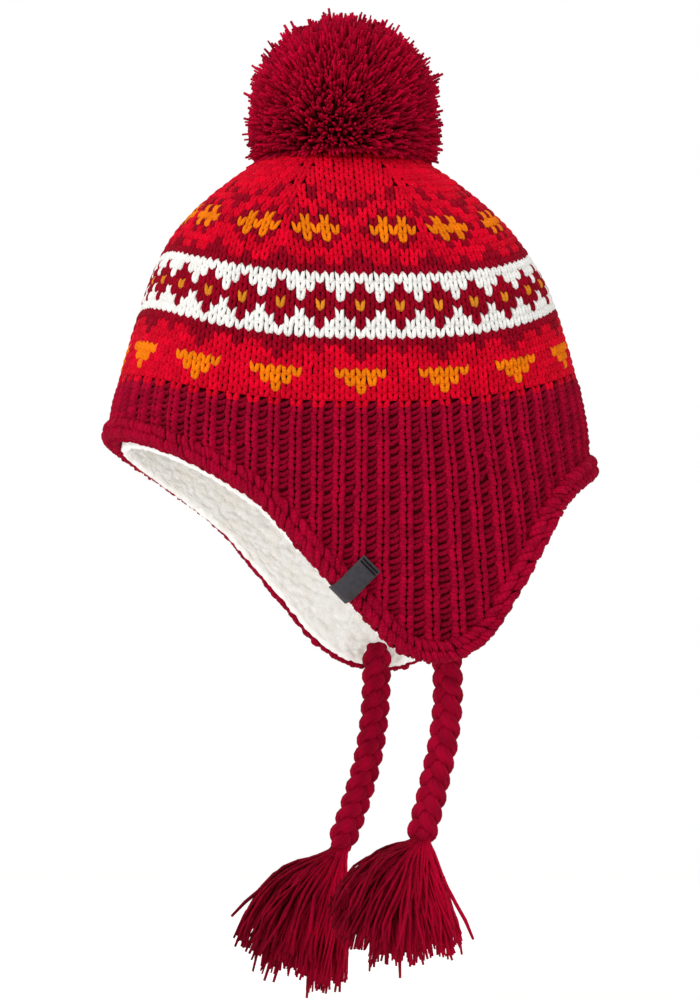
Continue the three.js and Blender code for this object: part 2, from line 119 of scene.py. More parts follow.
# Rows of the crown whose lengths up the profile are given below
ROWS_AT = (0, 8, 15, 20.5, CROWN_ROWS)
RIB_ROW = 2.6
# How far the stitches' middles lie below the outer face of the knitting
STITCH_SINK = 1.2
# How far ribs stand out and grooves lie back, reached so many rows below the crown
RIB_RELIEF = 0.9
RELIEF_ROWS = 3
# Slope of the ribs' lean, and the places from front to back where it comes and goes
RIB_LEAN = 0.2
RIB_LEAN_COMES = (-10, 75)
RIB_LEAN_GOES = (78, 100)
MOST_RIB_ROWS = 60
# Panels between the crown's decrease lines, and the place of one's middle from front to back
PANELS = 8
PANEL_PLACE = -7.6
# The knitting is turned on the lining by this share of a column
COLUMN_SHIFT = 0.36
# Columns of the crown are decreased where they would get narrower than this
NARROWEST_COLUMN = 3.6

# Pompom and ties
POMPOM_CENTRE = np.array([0, -1.8, 140])
POMPOM_RADIUS = 41
LEFT_ROUTE = [
    (44.2, 32.6, -85.5),
    (44.2, 33.0, -91.5),
    (44.1, 33.4, -97.5),
    (44.0, 33.6, -103.5),
    (43.8, 33.6, -109.5),
    (43.7, 33.2, -115.5),
    (43.6, 32.5, -121.5),
    (43.5, 31.6, -127.5),
    (43.4, 30.4, -133.5),
    (43.4, 28.9, -139.5),
    (43.3, 27.6, -145.5),
    (43.3, 26.2, -151.5),
    (43.2, 24.8, -156.5),
    (43.2, 23.5, -161.5),
    (43.2, 22.4, -166.5),
]
RIGHT_ROUTE = [
    (-45.3, 20.9, -84),
    (-45.2, 20.6, -90),
    (-45, 20.4, -96),
    (-44.6, 20.2, -102),
    (-44.3, 19.9, -108),
    (-44.1, 19.3, -115),
    (-43.9, 18.4, -122),
    (-43.7, 17.2, -129),
    (-43.6, 15.7, -136),
    (-43.6, 13.8, -143),
    (-43.5, 11.7, -150),
    (-43.5, 9.6, -156),
    (-43.4, 7.5, -162),
    (-43.4, 5.6, -167),
    (-43.4, 4.0, -172),
]
LEFT_FAN = [
    # bend along, bend drop, end along, end drop
    (-21, 0, -36, 25),
    (-12, 12, -22, 36),
    (-3, 16, 0, 42),
    (9, 8, 19, 33),
]
RIGHT_FAN = [
    # bend along, bend drop, end along, end drop
    (-24, 4, -41, 31),
    (-15, 12, -26, 40),
    (-5, 18, -10, 48),
    (5, 14, 4, 49),
]

# Yarn colours, as sRGB
BRIGHT_RED = "#cc0022"
DEEP_RED = "#8c001a"
RIB_CRIMSON = "#9a0027"
# Purl stitches: the ribs' yarn painted darker, as painted shade in the grooves
PURL_CRIMSON_PAINTED_SHADE = "#80001f"
# Painted shade behind the band's stitches
GROOVE_SHADE = "#580014"
WHITE = "#e4e2de"
ORANGE = "#e07406"
OCHRE = "#d08020"
# Painted shade for the backings behind the stitches and the cores inside the edge and the pompom
SHADE_RED = "#540012"
POMPOM_CRIMSON = "#b4002c"
TASSEL_CRIMSON = "#a00026"
FLEECE_CREAM = "#fdfbf7"
FLEECE_SHADE = "#f6f1ea"
TAPE_GREY = "#343136"
THREAD_BLACK = "#141216"
TIE_CRIMSON = "#8c0022"
FLOOR_WHITE = "#f4f4f2"


# Materials


def linear(hex_colour):
    """sRGB hex as linear red, green, blue and alpha"""
    values = [int(hex_colour[i : i + 2], 16) / 255 for i in (1, 3, 5)]
    return (*[v / 12.92 if v <= 0.04045 else ((v + 0.055) / 1.055) ** 2.4 for v in values], 1)


def shade(hex_colour, factor):
    """Linear colour, darker or lighter by a factor"""
    red, green, blue, alpha = linear(hex_colour)
    return (min(1, red * factor), min(1, green * factor), min(1, blue * factor), alpha)


def add_node(material, kind, settings=None, **inputs):
    """Adds a node; inputs are numbers or colours, or another node's output"""
    node = material.node_tree.nodes.new(kind)
    for name, value in (settings or {}).items():
        setattr(node, name, value)
    for name, value in inputs.items():
        key = int(name[3:]) if name.startswith("at_") else name.replace("_", " ")
        if isinstance(value, bpy.types.NodeSocket):
            material.node_tree.links.new(value, node.inputs[key])
        else:
            node.inputs[key].default_value = value
    return node


def per_mm(count):
    """Texture scale that repeats a pattern so many times in a millimetre"""
    return count / MM


def new_material(name, **finish):
    """Node material with its principled shader, and the numbers of its finish set on that"""
    material = bpy.data.materials.new(name)
    material.use_nodes = True
    shader = material.node_tree.nodes["Principled BSDF"]
    for socket, value in finish.items():
        shader.inputs[socket.replace("_", " ")].default_value = value
    return material, shader


def yarn(name, hex_colour, ply_lay=3.2, depth=0.35, fuzz=0.04, spread=0.2, ply_shade=0.18, root=0):
    """Plied acrylic and wool yarn: matt, softly haloed by its fibres, with the plies as
    slanting ridges and each stitch a little lighter or darker than the next.
    ply_lay is the length in mm in which the plies turn once, tint how far the ply ridges are
    painted lighter than their valleys, as painted light and shade, and root the length over
    which a cut yarn comes out of the painted shade of the others."""
    material, shader = new_material(
        name,
        Roughness=0.9,
        Specular_IOR_Level=0.06,
        Sheen_Weight=fuzz,
        Sheen_Roughness=0.45,
        Sheen_Tint=shade(hex_colour, 1.6),
    )
    link = material.node_tree.links.new
    multiply_add = {"operation": "MULTIPLY_ADD"}
    run = add_node(material, "ShaderNodeAttribute", {"attribute_name": "yarn_run"})
    parts = add_node(material, "ShaderNodeSeparateXYZ", Vector=run.outputs["Vector"])
    turns = add_node(
        material,
        "ShaderNodeMath",
        multiply_add,
        at_0=parts.outputs["X"],
        at_1=4 * math.pi / ply_lay,
        at_2=parts.outputs["Y"],
    )
    ridges = add_node(material, "ShaderNodeMath", {"operation": "SINE"}, at_0=turns.outputs[0])
    place = add_node(material, "ShaderNodeTexCoord").outputs["Object"]
    # Tufts of fibres 0.7 mm apart, coarser than real ones so that they show, and patches of
    # the dye 11 mm apart
    fibres = add_node(
        material, "ShaderNodeTexNoise", Vector=place, Scale=per_mm(1.4), Detail=3.0, Roughness=0.7
    )
    patches = add_node(
        material, "ShaderNodeTexNoise", Vector=place, Scale=per_mm(0.09), Detail=2.0
    )
    relief = add_node(
        material,
        "ShaderNodeMath",
        multiply_add,
        at_0=ridges.outputs[0],
        at_1=depth,
        at_2=fibres.outputs["Fac"],
    )
    bump = add_node(
        material, "ShaderNodeBump", Strength=0.55, Distance=0.4 * MM, Height=relief.outputs[0]
    )
    # Share of light colour: by stitch, by ply ridge as painted light on the ridges and painted
    # shade in the valleys, and by patch of the dye
    stitch_tone_and_ply_shade = add_node(
        material,
        "ShaderNodeMath",
        multiply_add,
        at_0=ridges.outputs[0],
        at_1=ply_shade,
        at_2=parts.outputs["Z"],
    )
    light = add_node(
        material,
        "ShaderNodeMath",
        {**multiply_add, "use_clamp": True},
        at_0=patches.outputs["Fac"],
        at_1=0.5,
        at_2=stitch_tone_and_ply_shade.outputs[0],
    )
    colours = add_node(material, "ShaderNodeValToRGB", Fac=light.outputs[0])
    colours.color_ramp.elements[0].position = 0.1
    colours.color_ramp.elements[0].color = shade(hex_colour, 1 - 2 * spread)
    colours.color_ramp.elements[1].position = 1.0
    colours.color_ramp.elements[1].color = shade(hex_colour, 1 + spread)
    colour = colours.outputs["Color"]
    if root:
        lit = add_node(
            material,
            "ShaderNodeMapRange",
            Value=parts.outputs["X"],
            From_Min=0,
            From_Max=root,
            To_Min=0.15,
        )
        shaded = add_node(
            material, "ShaderNodeVectorMath", {"operation": "SCALE"}, at_0=colour,
            Scale=lit.outputs["Result"],
        )
        colour = shaded.outputs["Vector"]
    link(colour, shader.inputs["Base Color"])
    link(bump.outputs["Normal"], shader.inputs["Normal"])
    return material


def sherpa_fleece(name, hex_colour):
    """Polyester sherpa: tight creamy curls, shaded warm between them, that let light through"""
    material, shader = new_material(
        name,
        Roughness=0.95,
        Specular_IOR_Level=0.1,
        Sheen_Weight=0.4,
        Sheen_Roughness=0.5,
        Subsurface_Weight=0.3,
        Subsurface_Scale=2 * MM,
        Subsurface_Radius=(1, 1, 1),
    )
    link = material.node_tree.links.new
    place = add_node(material, "ShaderNodeTexCoord").outputs["Object"]
    # Curls 2.3 mm apart, their fibres drawn 0.7 mm apart so that they show, and tints 6 mm apart
    curls = add_node(
        material, "ShaderNodeTexVoronoi", {"feature": "F1"}, Vector=place, Scale=per_mm(0.43)
    )
    fibres = add_node(material, "ShaderNodeTexNoise", Vector=place, Scale=per_mm(1.5), Detail=4.0)
    tints = add_node(material, "ShaderNodeTexNoise", Vector=place, Scale=per_mm(0.16), Detail=3.0)
    relief = add_node(
        material,
        "ShaderNodeMath",
        {"operation": "SUBTRACT"},
        at_0=fibres.outputs["Fac"],
        at_1=curls.outputs["Distance"],
    )
    bump = add_node(
        material, "ShaderNodeBump", Strength=0.4, Distance=0.9 * MM, Height=relief.outputs[0]
    )
    colours = add_node(material, "ShaderNodeValToRGB", Fac=tints.outputs["Fac"])
    colours.color_ramp.elements[0].position = 0.3
    colours.color_ramp.elements[0].color = linear(FLEECE_SHADE)
    colours.color_ramp.elements[1].position = 0.6
    colours.color_ramp.elements[1].color = linear(hex_colour)
    link(colours.outputs["Color"], shader.inputs["Base Color"])
    link(bump.outputs["Normal"], shader.inputs["Normal"])
    return material


def woven_tape(name, hex_colour):
    """Polyester satin tape: a smooth face with a faint sheen and fine weft ribs"""
    material, shader = new_material(
        name, Roughness=0.6, Specular_IOR_Level=0.2, Sheen_Weight=0.05
    )
    link = material.node_tree.links.new
    place = add_node(material, "ShaderNodeTexCoord").outputs["Object"]
    # Weft threads 0.5 mm apart, and wear in spots 2 mm apart
    threads = add_node(
        material,
        "ShaderNodeTexWave",
        {"bands_direction": "DIAGONAL"},
        Vector=place,
        Scale=per_mm(0.7),
        Distortion=1.5,
    )
    wear = add_node(material, "ShaderNodeTexNoise", Vector=place, Scale=per_mm(0.5), Detail=3.0)
    bump = add_node(
        material, "ShaderNodeBump", Strength=0.4, Distance=0.2 * MM, Height=threads.outputs["Fac"]
    )
    colours = add_node(material, "ShaderNodeValToRGB", Fac=wear.outputs["Fac"])
    colours.color_ramp.elements[0].position = 0.3
    colours.color_ramp.elements[0].color = shade(hex_colour, 0.75)
    colours.color_ramp.elements[1].position = 0.7
    colours.color_ramp.elements[1].color = shade(hex_colour, 1.2)
    link(colours.outputs["Color"], shader.inputs["Base Color"])
    link(bump.outputs["Normal"], shader.inputs["Normal"])
    return material


# The cap's surface


def smooth_columns(rows, chords=24):
    """Catmull-Rom curve through a table's two columns, as many short chords"""
    rows = np.array(rows, float)
    last = len(rows) - 1
    start = np.repeat(np.arange(last), chords)
    t = np.tile(np.arange(chords) / chords, last)[:, None]
    before, here = rows[np.maximum(start - 1, 0)], rows[start]
    there, after = rows[start + 1], rows[np.minimum(start + 2, last)]
    leave, arrive = (there - before) / 2, (after - here) / 2
    points = (
        (2 * here - 2 * there + leave + arrive) * t**3
        + (3 * there - 3 * here - 2 * leave - arrive) * t**2
        + leave * t
        + here
    )
    return np.vstack([points, rows[-1]])


def lengths_along(points):
    steps = np.linalg.norm(np.diff(points, axis=0), axis=1)
    return np.concatenate([[0], np.cumsum(steps)])


def smoothstep(x, low, high):
    t = np.clip((x - low) / (high - low), 0, 1)
    return t * t * (3 - 2 * t)


def lerp(a, b, share):
    return a + (b - a) * share


profile = smooth_columns(PROFILE)
profile_run = lengths_along(profile)
profile_run -= np.interp(0, profile[:, 1], profile_run)
APEX_LENGTH = profile_run[-1]
HALF_LENGTH = np.interp(0, profile_run, profile[:, 0])
# Lengths up the profile of the rows in ROWS_AT, in the middle of front and back, and at the sides
FRONT_LENGTHS = (27.5, 56.5, 82, 102, APEX_LENGTH)
SIDE_LENGTHS = (9.5, 36, 64, 85, APEX_LENGTH)
rim = smooth_columns(RIM)


def oval_reach(angle, width_share):
    along = np.abs(np.cos(angle)) ** CORNER_POWER
    across = (np.abs(np.sin(angle)) / width_share) ** CORNER_POWER
    return (along + across) ** (-1 / CORNER_POWER)


girth_angles = np.linspace(0, 2 * math.pi, 2049)
girth_reach = oval_reach(girth_angles, WIDTH_SHARE)
girth_run = lengths_along(
    np.stack([girth_reach * np.sin(girth_angles), -girth_reach * np.cos(girth_angles)], 1)
)
BAND_GIRTH = girth_run[-1] * HALF_LENGTH


def face_point(share, length):
    """Point on the outer face of the knitting: share of the girth, and length up the profile"""
    share, length = np.broadcast_arrays(share, length)
    half_length = np.interp(length, profile_run, profile[:, 0])
    height = np.interp(length, profile_run, profile[:, 1])
    angle = np.interp((share % 1) * girth_run[-1], girth_run, girth_angles)
    width_share = lerp(WIDTH_SHARE, TOP_WIDTH_SHARE, smoothstep(height, 0, PROFILE[-1][1]))
    reach = half_length * oval_reach(angle, width_share)
    tuck = FLAP_TUCK * (np.maximum(0, -height) / FLAP_DEPTH) ** TUCK_POWER
    lean = CROWN_LEAN * smoothstep(height, LEAN_START, LEAN_START + LEAN_SPAN)
    return np.stack(
        [reach * np.sin(angle) * (1 - tuck), -reach * np.cos(angle) - lean, height], -1
    )


def unit(vectors):
    return vectors / np.maximum(np.linalg.norm(vectors, axis=-1, keepdims=True), 1e-9)


def face_normal(share, length):
    share_step, length_step = 1 / 1024, 0.5
    top = length > APEX_LENGTH - 2 * length_step
    low = np.where(top, APEX_LENGTH - 3 * length_step, length)
    around = face_point(share + share_step, low) - face_point(share - share_step, low)
    up = face_point(share, low + length_step) - face_point(share, low - length_step)
    normal = unit(np.cross(around, up))
    return np.where(np.asarray(top)[..., None], np.array([0.0, 0.0, 1.0]), normal)


def wall_point(share, length, depth):
    """Point at a depth in mm below the outer face"""
    return face_point(share, length) - face_normal(share, length) * np.asarray(depth)[..., None]


def column_place(share):
    return face_point(share, 0 * share)[..., 1]


TABLE_SHARES = np.linspace(0, 1, 1025)


def rim_height(share):
    """Height of the cap's lower edge: the left flap is cut away a little more in front"""
    place = column_place(share)
    left = smoothstep(np.sin(share * 2 * math.pi), 0, 0.5)
    cut = LEFT_CUT * np.exp(-(((place - LEFT_CUT_PLACE) / LEFT_CUT_SPAN) ** 2))
    return np.interp(place, rim[:, 0], rim[:, 1]) + left * cut


def height_above_rim(share, distance, steps=24):
    """Length up the profile of the line that keeps a distance above the cap's lower edge"""
    best = np.full(TABLE_SHARES.shape, -np.inf)
    for i in range(-steps, steps + 1):
        aside = i / steps * distance
        edge = rim_height(TABLE_SHARES + aside / BAND_GIRTH)
        best = np.maximum(best, edge + math.sqrt(distance**2 - aside**2))
    return np.interp(np.asarray(share) % 1, TABLE_SHARES, best)


def row_length(share, row):
    """Length up the profile of a crown row: 0 at the ribbing, CROWN_ROWS at the apex"""
    place = column_place(share)
    sideways = 1 - np.minimum(1, np.abs(place / HALF_LENGTH)) ** DROOP_POWER
    front, side = (np.interp(row, ROWS_AT, table) for table in (FRONT_LENGTHS, SIDE_LENGTHS))
    tilt = BORDER_TILT * place * np.clip(1 - row / CROWN_ROWS, 0, 1)
    return lerp(front, side, sideways) + tilt


def roll_table():
    """Centre of the rolled edge with its outward and upward directions, round the cap"""
    step = 1 / 512
    at = TABLE_SHARES

    def centre_at(share):
        return wall_point(share, height_above_rim(share, ROLL_RADIUS), ROLL_INSET)

    along = unit(centre_at(at + step) - centre_at(at - step))
    up = unit(np.cross(face_normal(at, height_above_rim(at, ROLL_RADIUS)), along))
    return centre_at(at), np.cross(along, up), up


roll_centre, roll_out, roll_up = roll_table()


def roll_point(share, around, radius):
    """Point on the rolled edge: around is the turn from outward, downwards, in radians"""
    share = np.asarray(share) % 1

    def read(table):
        return np.stack([np.interp(share, TABLE_SHARES, table[:, i]) for i in range(3)], -1)

    section = read(roll_out) * np.cos(around)[..., None] - read(roll_up) * np.sin(around)[..., None]
    return read(roll_centre) + section * np.asarray(radius)[..., None]


# Meshes


def make_piece(name, points, face_groups, material, node, run=None):
    """Makes a piece of the cap from points in mm, in place of a solid of the frame.
    Each face group holds faces of one size, and run is where on its yarn each point lies."""
    mesh = bpy.data.meshes.new(name)
    sizes = np.concatenate([np.full(len(g), g.shape[1], np.int32) for g in face_groups])
    corners = np.concatenate([g.ravel() for g in face_groups]).astype(np.int32)
    starts = np.concatenate([[0], np.cumsum(sizes)[:-1]]).astype(np.int32)
    points = np.ascontiguousarray(points, np.float32).reshape(-1, 3)
    mesh.vertices.add(len(points))
    mesh.vertices.foreach_set("co", (points * MM).ravel())
    mesh.loops.add(len(corners))
    mesh.loops.foreach_set("vertex_index", corners)
    mesh.polygons.add(len(sizes))
    mesh.polygons.foreach_set("loop_start", starts)
    mesh.polygons.foreach_set("use_smooth", np.ones(len(sizes), bool))
    mesh.materials.append(material)
    if run is not None:
        layer = mesh.attributes.new("yarn_run", "FLOAT_VECTOR", "POINT")
        layer.data.foreach_set("vector", np.ascontiguousarray(run, np.float32).ravel())
    mesh.update(calc_edges=True)
    mesh.validate()
    piece = bpy.data.objects.new(name, mesh)
    bpy.context.scene.collection.objects.link(piece)
    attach(piece, "root")
    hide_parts(node)
    return piece


def grid_faces(rows, columns, closed=True):
    """Quads of a grid of points, its columns closed into a ring or left open"""
    count = columns if closed else columns - 1
    row, column = np.meshgrid(np.arange(rows - 1), np.arange(count), indexing="ij")
    here = row * columns + column
    aside = row * columns + (column + 1) % columns
    return np.stack([here, aside, aside + columns, here + columns], -1).reshape(-1, 4)


class Stroke:
    """A short length of yarn laid on the fabric, as the rounded upper side of a tube.
    Its path is across, up and rise, the first two in columns and rows of the knitting."""

    def __init__(self, path, radii, column, row, sides=4, wrap=1.75, flat=0.9):
        scale = np.array([column, row, 1])
        path_mm = path * scale
        tangent = unit(np.gradient(path_mm[:, :2], axis=0))
        aside = np.stack([tangent[:, 1], -tangent[:, 0]], 1)
        turn = np.linspace(-wrap, wrap, sides + 1)
        radii = radii[:, None]
        points = np.repeat(path_mm[:, None], sides + 1, 1)
        points[..., :2] += aside[:, None] * (radii * np.sin(turn))[..., None]
        points[..., 2] += flat * radii * np.cos(turn)
        self.points = (points / scale).reshape(-1, 3)
        run = np.repeat(lengths_along(path_mm), sides + 1)
        self.run = np.stack([run, np.tile(turn, len(path))], 1)
        self.faces = grid_faces(len(path), sides + 1, closed=False)


def lay_strokes(stroke, place, across, up, seed, looseness):
    """Lays copies of a stroke by a function from across, up and rise to points in mm.
    Gives points, faces and the yarn's run."""
    rng = np.random.default_rng(seed)
    count = len(across)
    jitter = rng.normal(0, looseness, (count, 3))
    lift = rng.uniform(-0.12, 0.12, count)
    grow = 1 + rng.normal(0, looseness, count)
    x = across[:, None] + jitter[:, :1] + stroke.points[:, 0] * grow[:, None]
    y = up[:, None] + jitter[:, 1:2] + stroke.points[:, 1]
    x = x + jitter[:, 2:] * stroke.points[:, 1]
    z = stroke.points[:, 2] * grow[:, None] + lift[:, None]
    points = place(x, y, z)
    offsets = np.arange(count) * len(stroke.points)
    faces = (stroke.faces[None] + offsets[:, None, None]).reshape(-1, 4)
    run = np.empty((count, len(stroke.points), 3))
    run[..., :2] = stroke.run
    run[..., 0] += rng.uniform(0, 3, count)[:, None]
    run[..., 2] = rng.uniform(0, 0.5, count)[:, None]
    return points.reshape(-1, 3), faces, run.reshape(-1, 3)


def lay_all(strokes, place, across, up, seeds, looseness):
    """Lays several strokes at each stitch, as one set of points, faces and runs"""
    points, faces, runs, offset = [], [], [], 0
    for stroke, seed in zip(strokes, seeds):
        laid, laid_faces, run = lay_strokes(stroke, place, across, up, seed, looseness)
        points.append(laid)
        faces.append(laid_faces + offset)
        runs.append(run)
        offset += len(laid)
    return np.concatenate(points), np.concatenate(faces), np.concatenate(runs)


def tubes(paths, radii, sides, seed, facing, section=None):
    """Closed tubes along paths (count, steps, 3) with radii (count, steps).
    facing is a direction that no path runs along. section shapes the outline round the tube."""
    rng = np.random.default_rng(seed)
    count, steps = radii.shape
    tangent = unit(np.gradient(paths, axis=1))
    aside = unit(np.cross(tangent, facing))
    front = np.cross(aside, tangent)
    turn = np.arange(sides) * 2 * math.pi / sides
    outline = np.ones(sides) if section is None else section(turn)
    reach = radii[..., None, None] * outline[:, None]
    rings = paths[:, :, None] + reach * (
        np.cos(turn)[:, None] * aside[:, :, None] + np.sin(turn)[:, None] * front[:, :, None]
    )
    rings = rings.reshape(count, steps * sides, 3)
    points = np.concatenate([rings, paths[:, :1], paths[:, -1:]], 1)
    size = steps * sides + 2
    quads = grid_faces(steps, sides)
    ring = np.arange(sides)
    after = (ring + 1) % sides
    last = (steps - 1) * sides
    start_cap = np.stack([after, ring, np.full(sides, size - 2)], 1)
    end_cap = np.stack([last + ring, last + after, np.full(sides, size - 1)], 1)
    offsets = (np.arange(count) * size)[:, None, None]
    groups = [
        (g[None, :, ::-1] + offsets).reshape(-1, g.shape[1]) for g in (quads, start_cap, end_cap)
    ]
    lengths = np.cumsum(np.linalg.norm(np.diff(paths, axis=1, prepend=paths[:, :1]), axis=2), 1)
    run = np.zeros((count, size, 3))
    run[:, :-2, 0] = np.repeat(lengths, sides, 1)
    run[:, -1, 0] = lengths[:, -1]
    run[:, :-2, 1] = np.tile(2 * np.cos(turn), steps)
    run[..., 2] = rng.uniform(0, 0.5, count)[:, None]
    return points.reshape(-1, 3), groups, run.reshape(-1, 3)


# Camera, floor and light

CAMERA_AZIMUTH = 80
CAMERA_ELEVATION = -4.2
CAMERA_DISTANCE = 1550
AIM_RIGHT = 0.84
AIM_UP = -25.2
PICTURE_HEIGHT = 1000
FOCAL_PIXELS = 3690.5
SENSOR = 36
SURROUND = 1.0
FLOOR_HEIGHT = -240
FLOOR_HALF = 30
# Name, place, size and power, in metres and watts
LAMPS = [
    ("key", (0.9, -0.9, 1.3), 0.9, 13),
    ("back", (-1.2, 0.3, 1.2), 1.0, 6),
    ("low", (1.2, -0.8, -0.12), 0.8, 4),
]


def make_camera():
    azimuth, elevation = math.radians(CAMERA_AZIMUTH), math.radians(CAMERA_ELEVATION)
    right = Vector((math.cos(azimuth), math.sin(azimuth), 0))
    back = Vector(
        (
            math.sin(azimuth) * math.cos(elevation),
            -math.cos(azimuth) * math.cos(elevation),
            math.sin(elevation),
        )
    )
    up = back.cross(right)
    data = bpy.data.cameras.new("camera")
    data.sensor_width = SENSOR
    data.lens = FOCAL_PIXELS / PICTURE_HEIGHT * SENSOR
    camera = bpy.data.objects.new("camera", data)
    camera.location = (right * AIM_RIGHT + up * AIM_UP + back * CAMERA_DISTANCE) * MM
    camera.rotation_euler = (-back).to_track_quat("-Z", "Y").to_euler()
    bpy.context.scene.collection.objects.link(camera)
    bpy.context.scene.camera = camera


def make_light(name, place, size, power):
    data = bpy.data.lights.new(name, "AREA")
    data.size = size
    data.energy = power
    light = bpy.data.objects.new(name, data)
    light.location = place
    light.rotation_euler = (-Vector(place)).to_track_quat("-Z", "Y").to_euler()
    bpy.context.scene.collection.objects.link(light)


def make_studio():
    """Pale floor that runs into an even white surround, and large soft lamps"""
    world = bpy.data.worlds.new("surround")
    world.use_nodes = True
    world.node_tree.nodes["Background"].inputs["Color"].default_value = (1, 1, 1, 1)
    world.node_tree.nodes["Background"].inputs["Strength"].default_value = SURROUND
    bpy.context.scene.world = world
    bpy.context.scene.view_settings.view_transform = "Standard"
    for name, place, size, power in LAMPS:
        make_light(name, place, size, power)
    material, shader = new_material("floor_paint", Base_Color=linear(FLOOR_WHITE), Roughness=0.8)
    link = material.node_tree.links.new
    glow = add_node(material, "ShaderNodeEmission", Strength=SURROUND)
    place = add_node(material, "ShaderNodeTexCoord").outputs["Object"]
    away = add_node(material, "ShaderNodeVectorMath", {"operation": "LENGTH"}, at_0=place)
    fade = add_node(
        material, "ShaderNodeMapRange", Value=away.outputs["Value"], From_Min=0.5, From_Max=2.5
    )
    mix = add_node(material, "ShaderNodeMixShader", Fac=fade.outputs["Result"])
    link(shader.outputs["BSDF"], mix.inputs[1])
    link(glow.outputs["Emission"], mix.inputs[2])
    link(mix.outputs["Shader"], material.node_tree.nodes["Material Output"].inputs["Surface"])
    mesh = bpy.data.meshes.new("floor")
    corners = [(-1, -1, 0), (1, -1, 0), (1, 1, 0), (-1, 1, 0)]
    mesh.from_pydata([Vector(corner) * FLOOR_HALF for corner in corners], [], [(0, 1, 2, 3)])
    mesh.materials.append(material)
    floor = bpy.data.objects.new("floor", mesh)
    floor.location.z = FLOOR_HEIGHT * MM
    bpy.context.scene.collection.objects.link(floor)


# Ties

# Directions that the plaits' flat sides face: each is turned a little about its length
LEFT_FACING = (0.77, -0.64, 0)
RIGHT_FACING = (0.77, 0.64, 0)
STRAND_RADIUS = 3.2
STRAND_SWING = 2.95
STRAND_CROSSING = 2.3
PLAIT_PITCH = 21
# Yarns side by side in a strand, and how their outline stands out between the valleys
STRAND_YARNS = 8
YARN_VALLEY = 0.88
YARN_RIDGE = 0.14


def plait_strands(route, turn_start, facing):
    """Centre lines of a plait's three strands, which swing across and pass over each other"""
    line = smooth_route(route)
    run = lengths_along(line)
    tangent = unit(np.gradient(line, axis=0))
    across = unit(np.cross(tangent, facing))
    front = np.cross(across, tangent)
    strands = []
    for k in range(3):
        phase = 2 * math.pi * (run / PLAIT_PITCH + k / 3) + turn_start
        swing = STRAND_SWING * np.sin(phase)
        crossing = STRAND_CROSSING * np.sin(2 * phase)
        strands.append(line + across * swing[:, None] + front * crossing[:, None])
    return np.array(strands), line, run


def smooth_route(route, chords=8):
    rows = np.array(route, float)
    halves = [smooth_columns(rows[:, [0, 1]], chords), smooth_columns(rows[:, [1, 2]], chords)]
    return np.column_stack([halves[0][:, 0], halves[1]])


def make_plait(name, route, turn_start, facing, material, node):
    strands, line, run = plait_strands(route, turn_start, facing)
    from_end = np.minimum(run, run[-1] - run)
    taper = np.sqrt(1 - (1 - np.clip(from_end / STRAND_RADIUS, 0, 1)) ** 2 * 0.96)
    radii = np.repeat((STRAND_RADIUS * taper)[None], 3, 0)

    def bundle(turn):
        return YARN_VALLEY + YARN_RIDGE * np.abs(np.cos(turn * STRAND_YARNS / 2))

    points, faces, yarn_run = tubes(strands, radii, 4 * STRAND_YARNS, 5, [1.0, 0, 0], bundle)
    piece = make_piece(name, points, faces, material, node, yarn_run)
    return piece


TASSEL_YARNS = 420
TASSEL_YARN_RADIUS = 0.62
TASSEL_DEPTH = 15
TASSEL_LOCKS = 9
# How far the locks, and the yarns at their bends and tips, stray from even places
LOCK_STRAY = 1.5
BEND_STRAY = 1.3
TIP_STRAY = 1.5
# How far a loose yarn waves at its tip
YARN_WAVE = 1.7
HEAD_LENGTH = 9
HEAD_RADIUS = 3.4
# The yarns bend this much wider and higher than the locks of the solids
BEND_WIDER = 1.22
BEND_HIGHER = 7
# Thickness of a yarn from its top to its tip
TASSEL_SWELL = (0.9, 1, 1, 1.05, 1.05, 1.1, 1.1, 1.15, 1.15, 0.8)


def make_tassel(name, route, fan, material, node, seed):
    """Yarns that fan out of a tied head under the plait's end"""
    rng = np.random.default_rng(seed)
    end, before = np.array(route[-1], float), np.array(route[-2], float)
    along = unit(end - before)
    foot = end + along * HEAD_LENGTH
    share = rng.uniform(0, 1, TASSEL_YARNS)
    layer = rng.uniform(-1, 1, TASSEL_YARNS)
    columns = [
        np.interp(share, np.linspace(0, 1, len(fan)), [row[i] for row in fan]) for i in range(4)
    ]
    bend_along, bend_drop, end_along, end_drop = columns
    depth = layer * TASSEL_DEPTH * np.sin(math.pi * lerp(0.18, 0.82, share))
    spread = rng.normal(0, 1, (TASSEL_YARNS, 3))
    lock = (share * TASSEL_LOCKS).astype(int) + TASSEL_LOCKS * (layer > 0)
    lock_shift = rng.normal(0, LOCK_STRAY, (2 * TASSEL_LOCKS, 3))[lock]
    crowd = np.stack([layer, lerp(-1, 1, share), 0 * share], 1) * HEAD_RADIUS
    top = end - along * 1.5 + crowd * 0.9
    neck = end + along * HEAD_LENGTH * 0.5 + crowd * 0.75
    bend = np.stack([depth * 0.85, bend_along * BEND_WIDER, BEND_HIGHER - bend_drop], 1)
    bend = foot + bend + spread * BEND_STRAY + lock_shift
    tip = foot + np.stack([depth, end_along, -end_drop + 2 * layer], 1)
    tip += (tip - bend) * rng.uniform(-0.22, 0.02, (TASSEL_YARNS, 1))
    tip += spread * TIP_STRAY + lock_shift
    t = np.linspace(0, 1, len(TASSEL_SWELL))[None, :, None]
    curve = (
        (1 - t) ** 3 * top[:, None]
        + 3 * t * (1 - t) ** 2 * neck[:, None]
        + 3 * t**2 * (1 - t) * bend[:, None]
        + t**3 * tip[:, None]
    )
    beat = rng.uniform(6, 12, (TASSEL_YARNS, 1, 1))
    wave = np.sin(t * beat + rng.uniform(0, 6.28, (TASSEL_YARNS, 1, 3))) * t * YARN_WAVE
    radii = TASSEL_YARN_RADIUS * rng.uniform(0.8, 1.2, (TASSEL_YARNS, 1))
    radii = radii * np.array(TASSEL_SWELL)
    points, faces, run = tubes(curve + wave, radii, 4, seed, [1.0, 0.15, 0.05])
    return make_piece(name, points, faces, material, node, run)


# Crown knitting

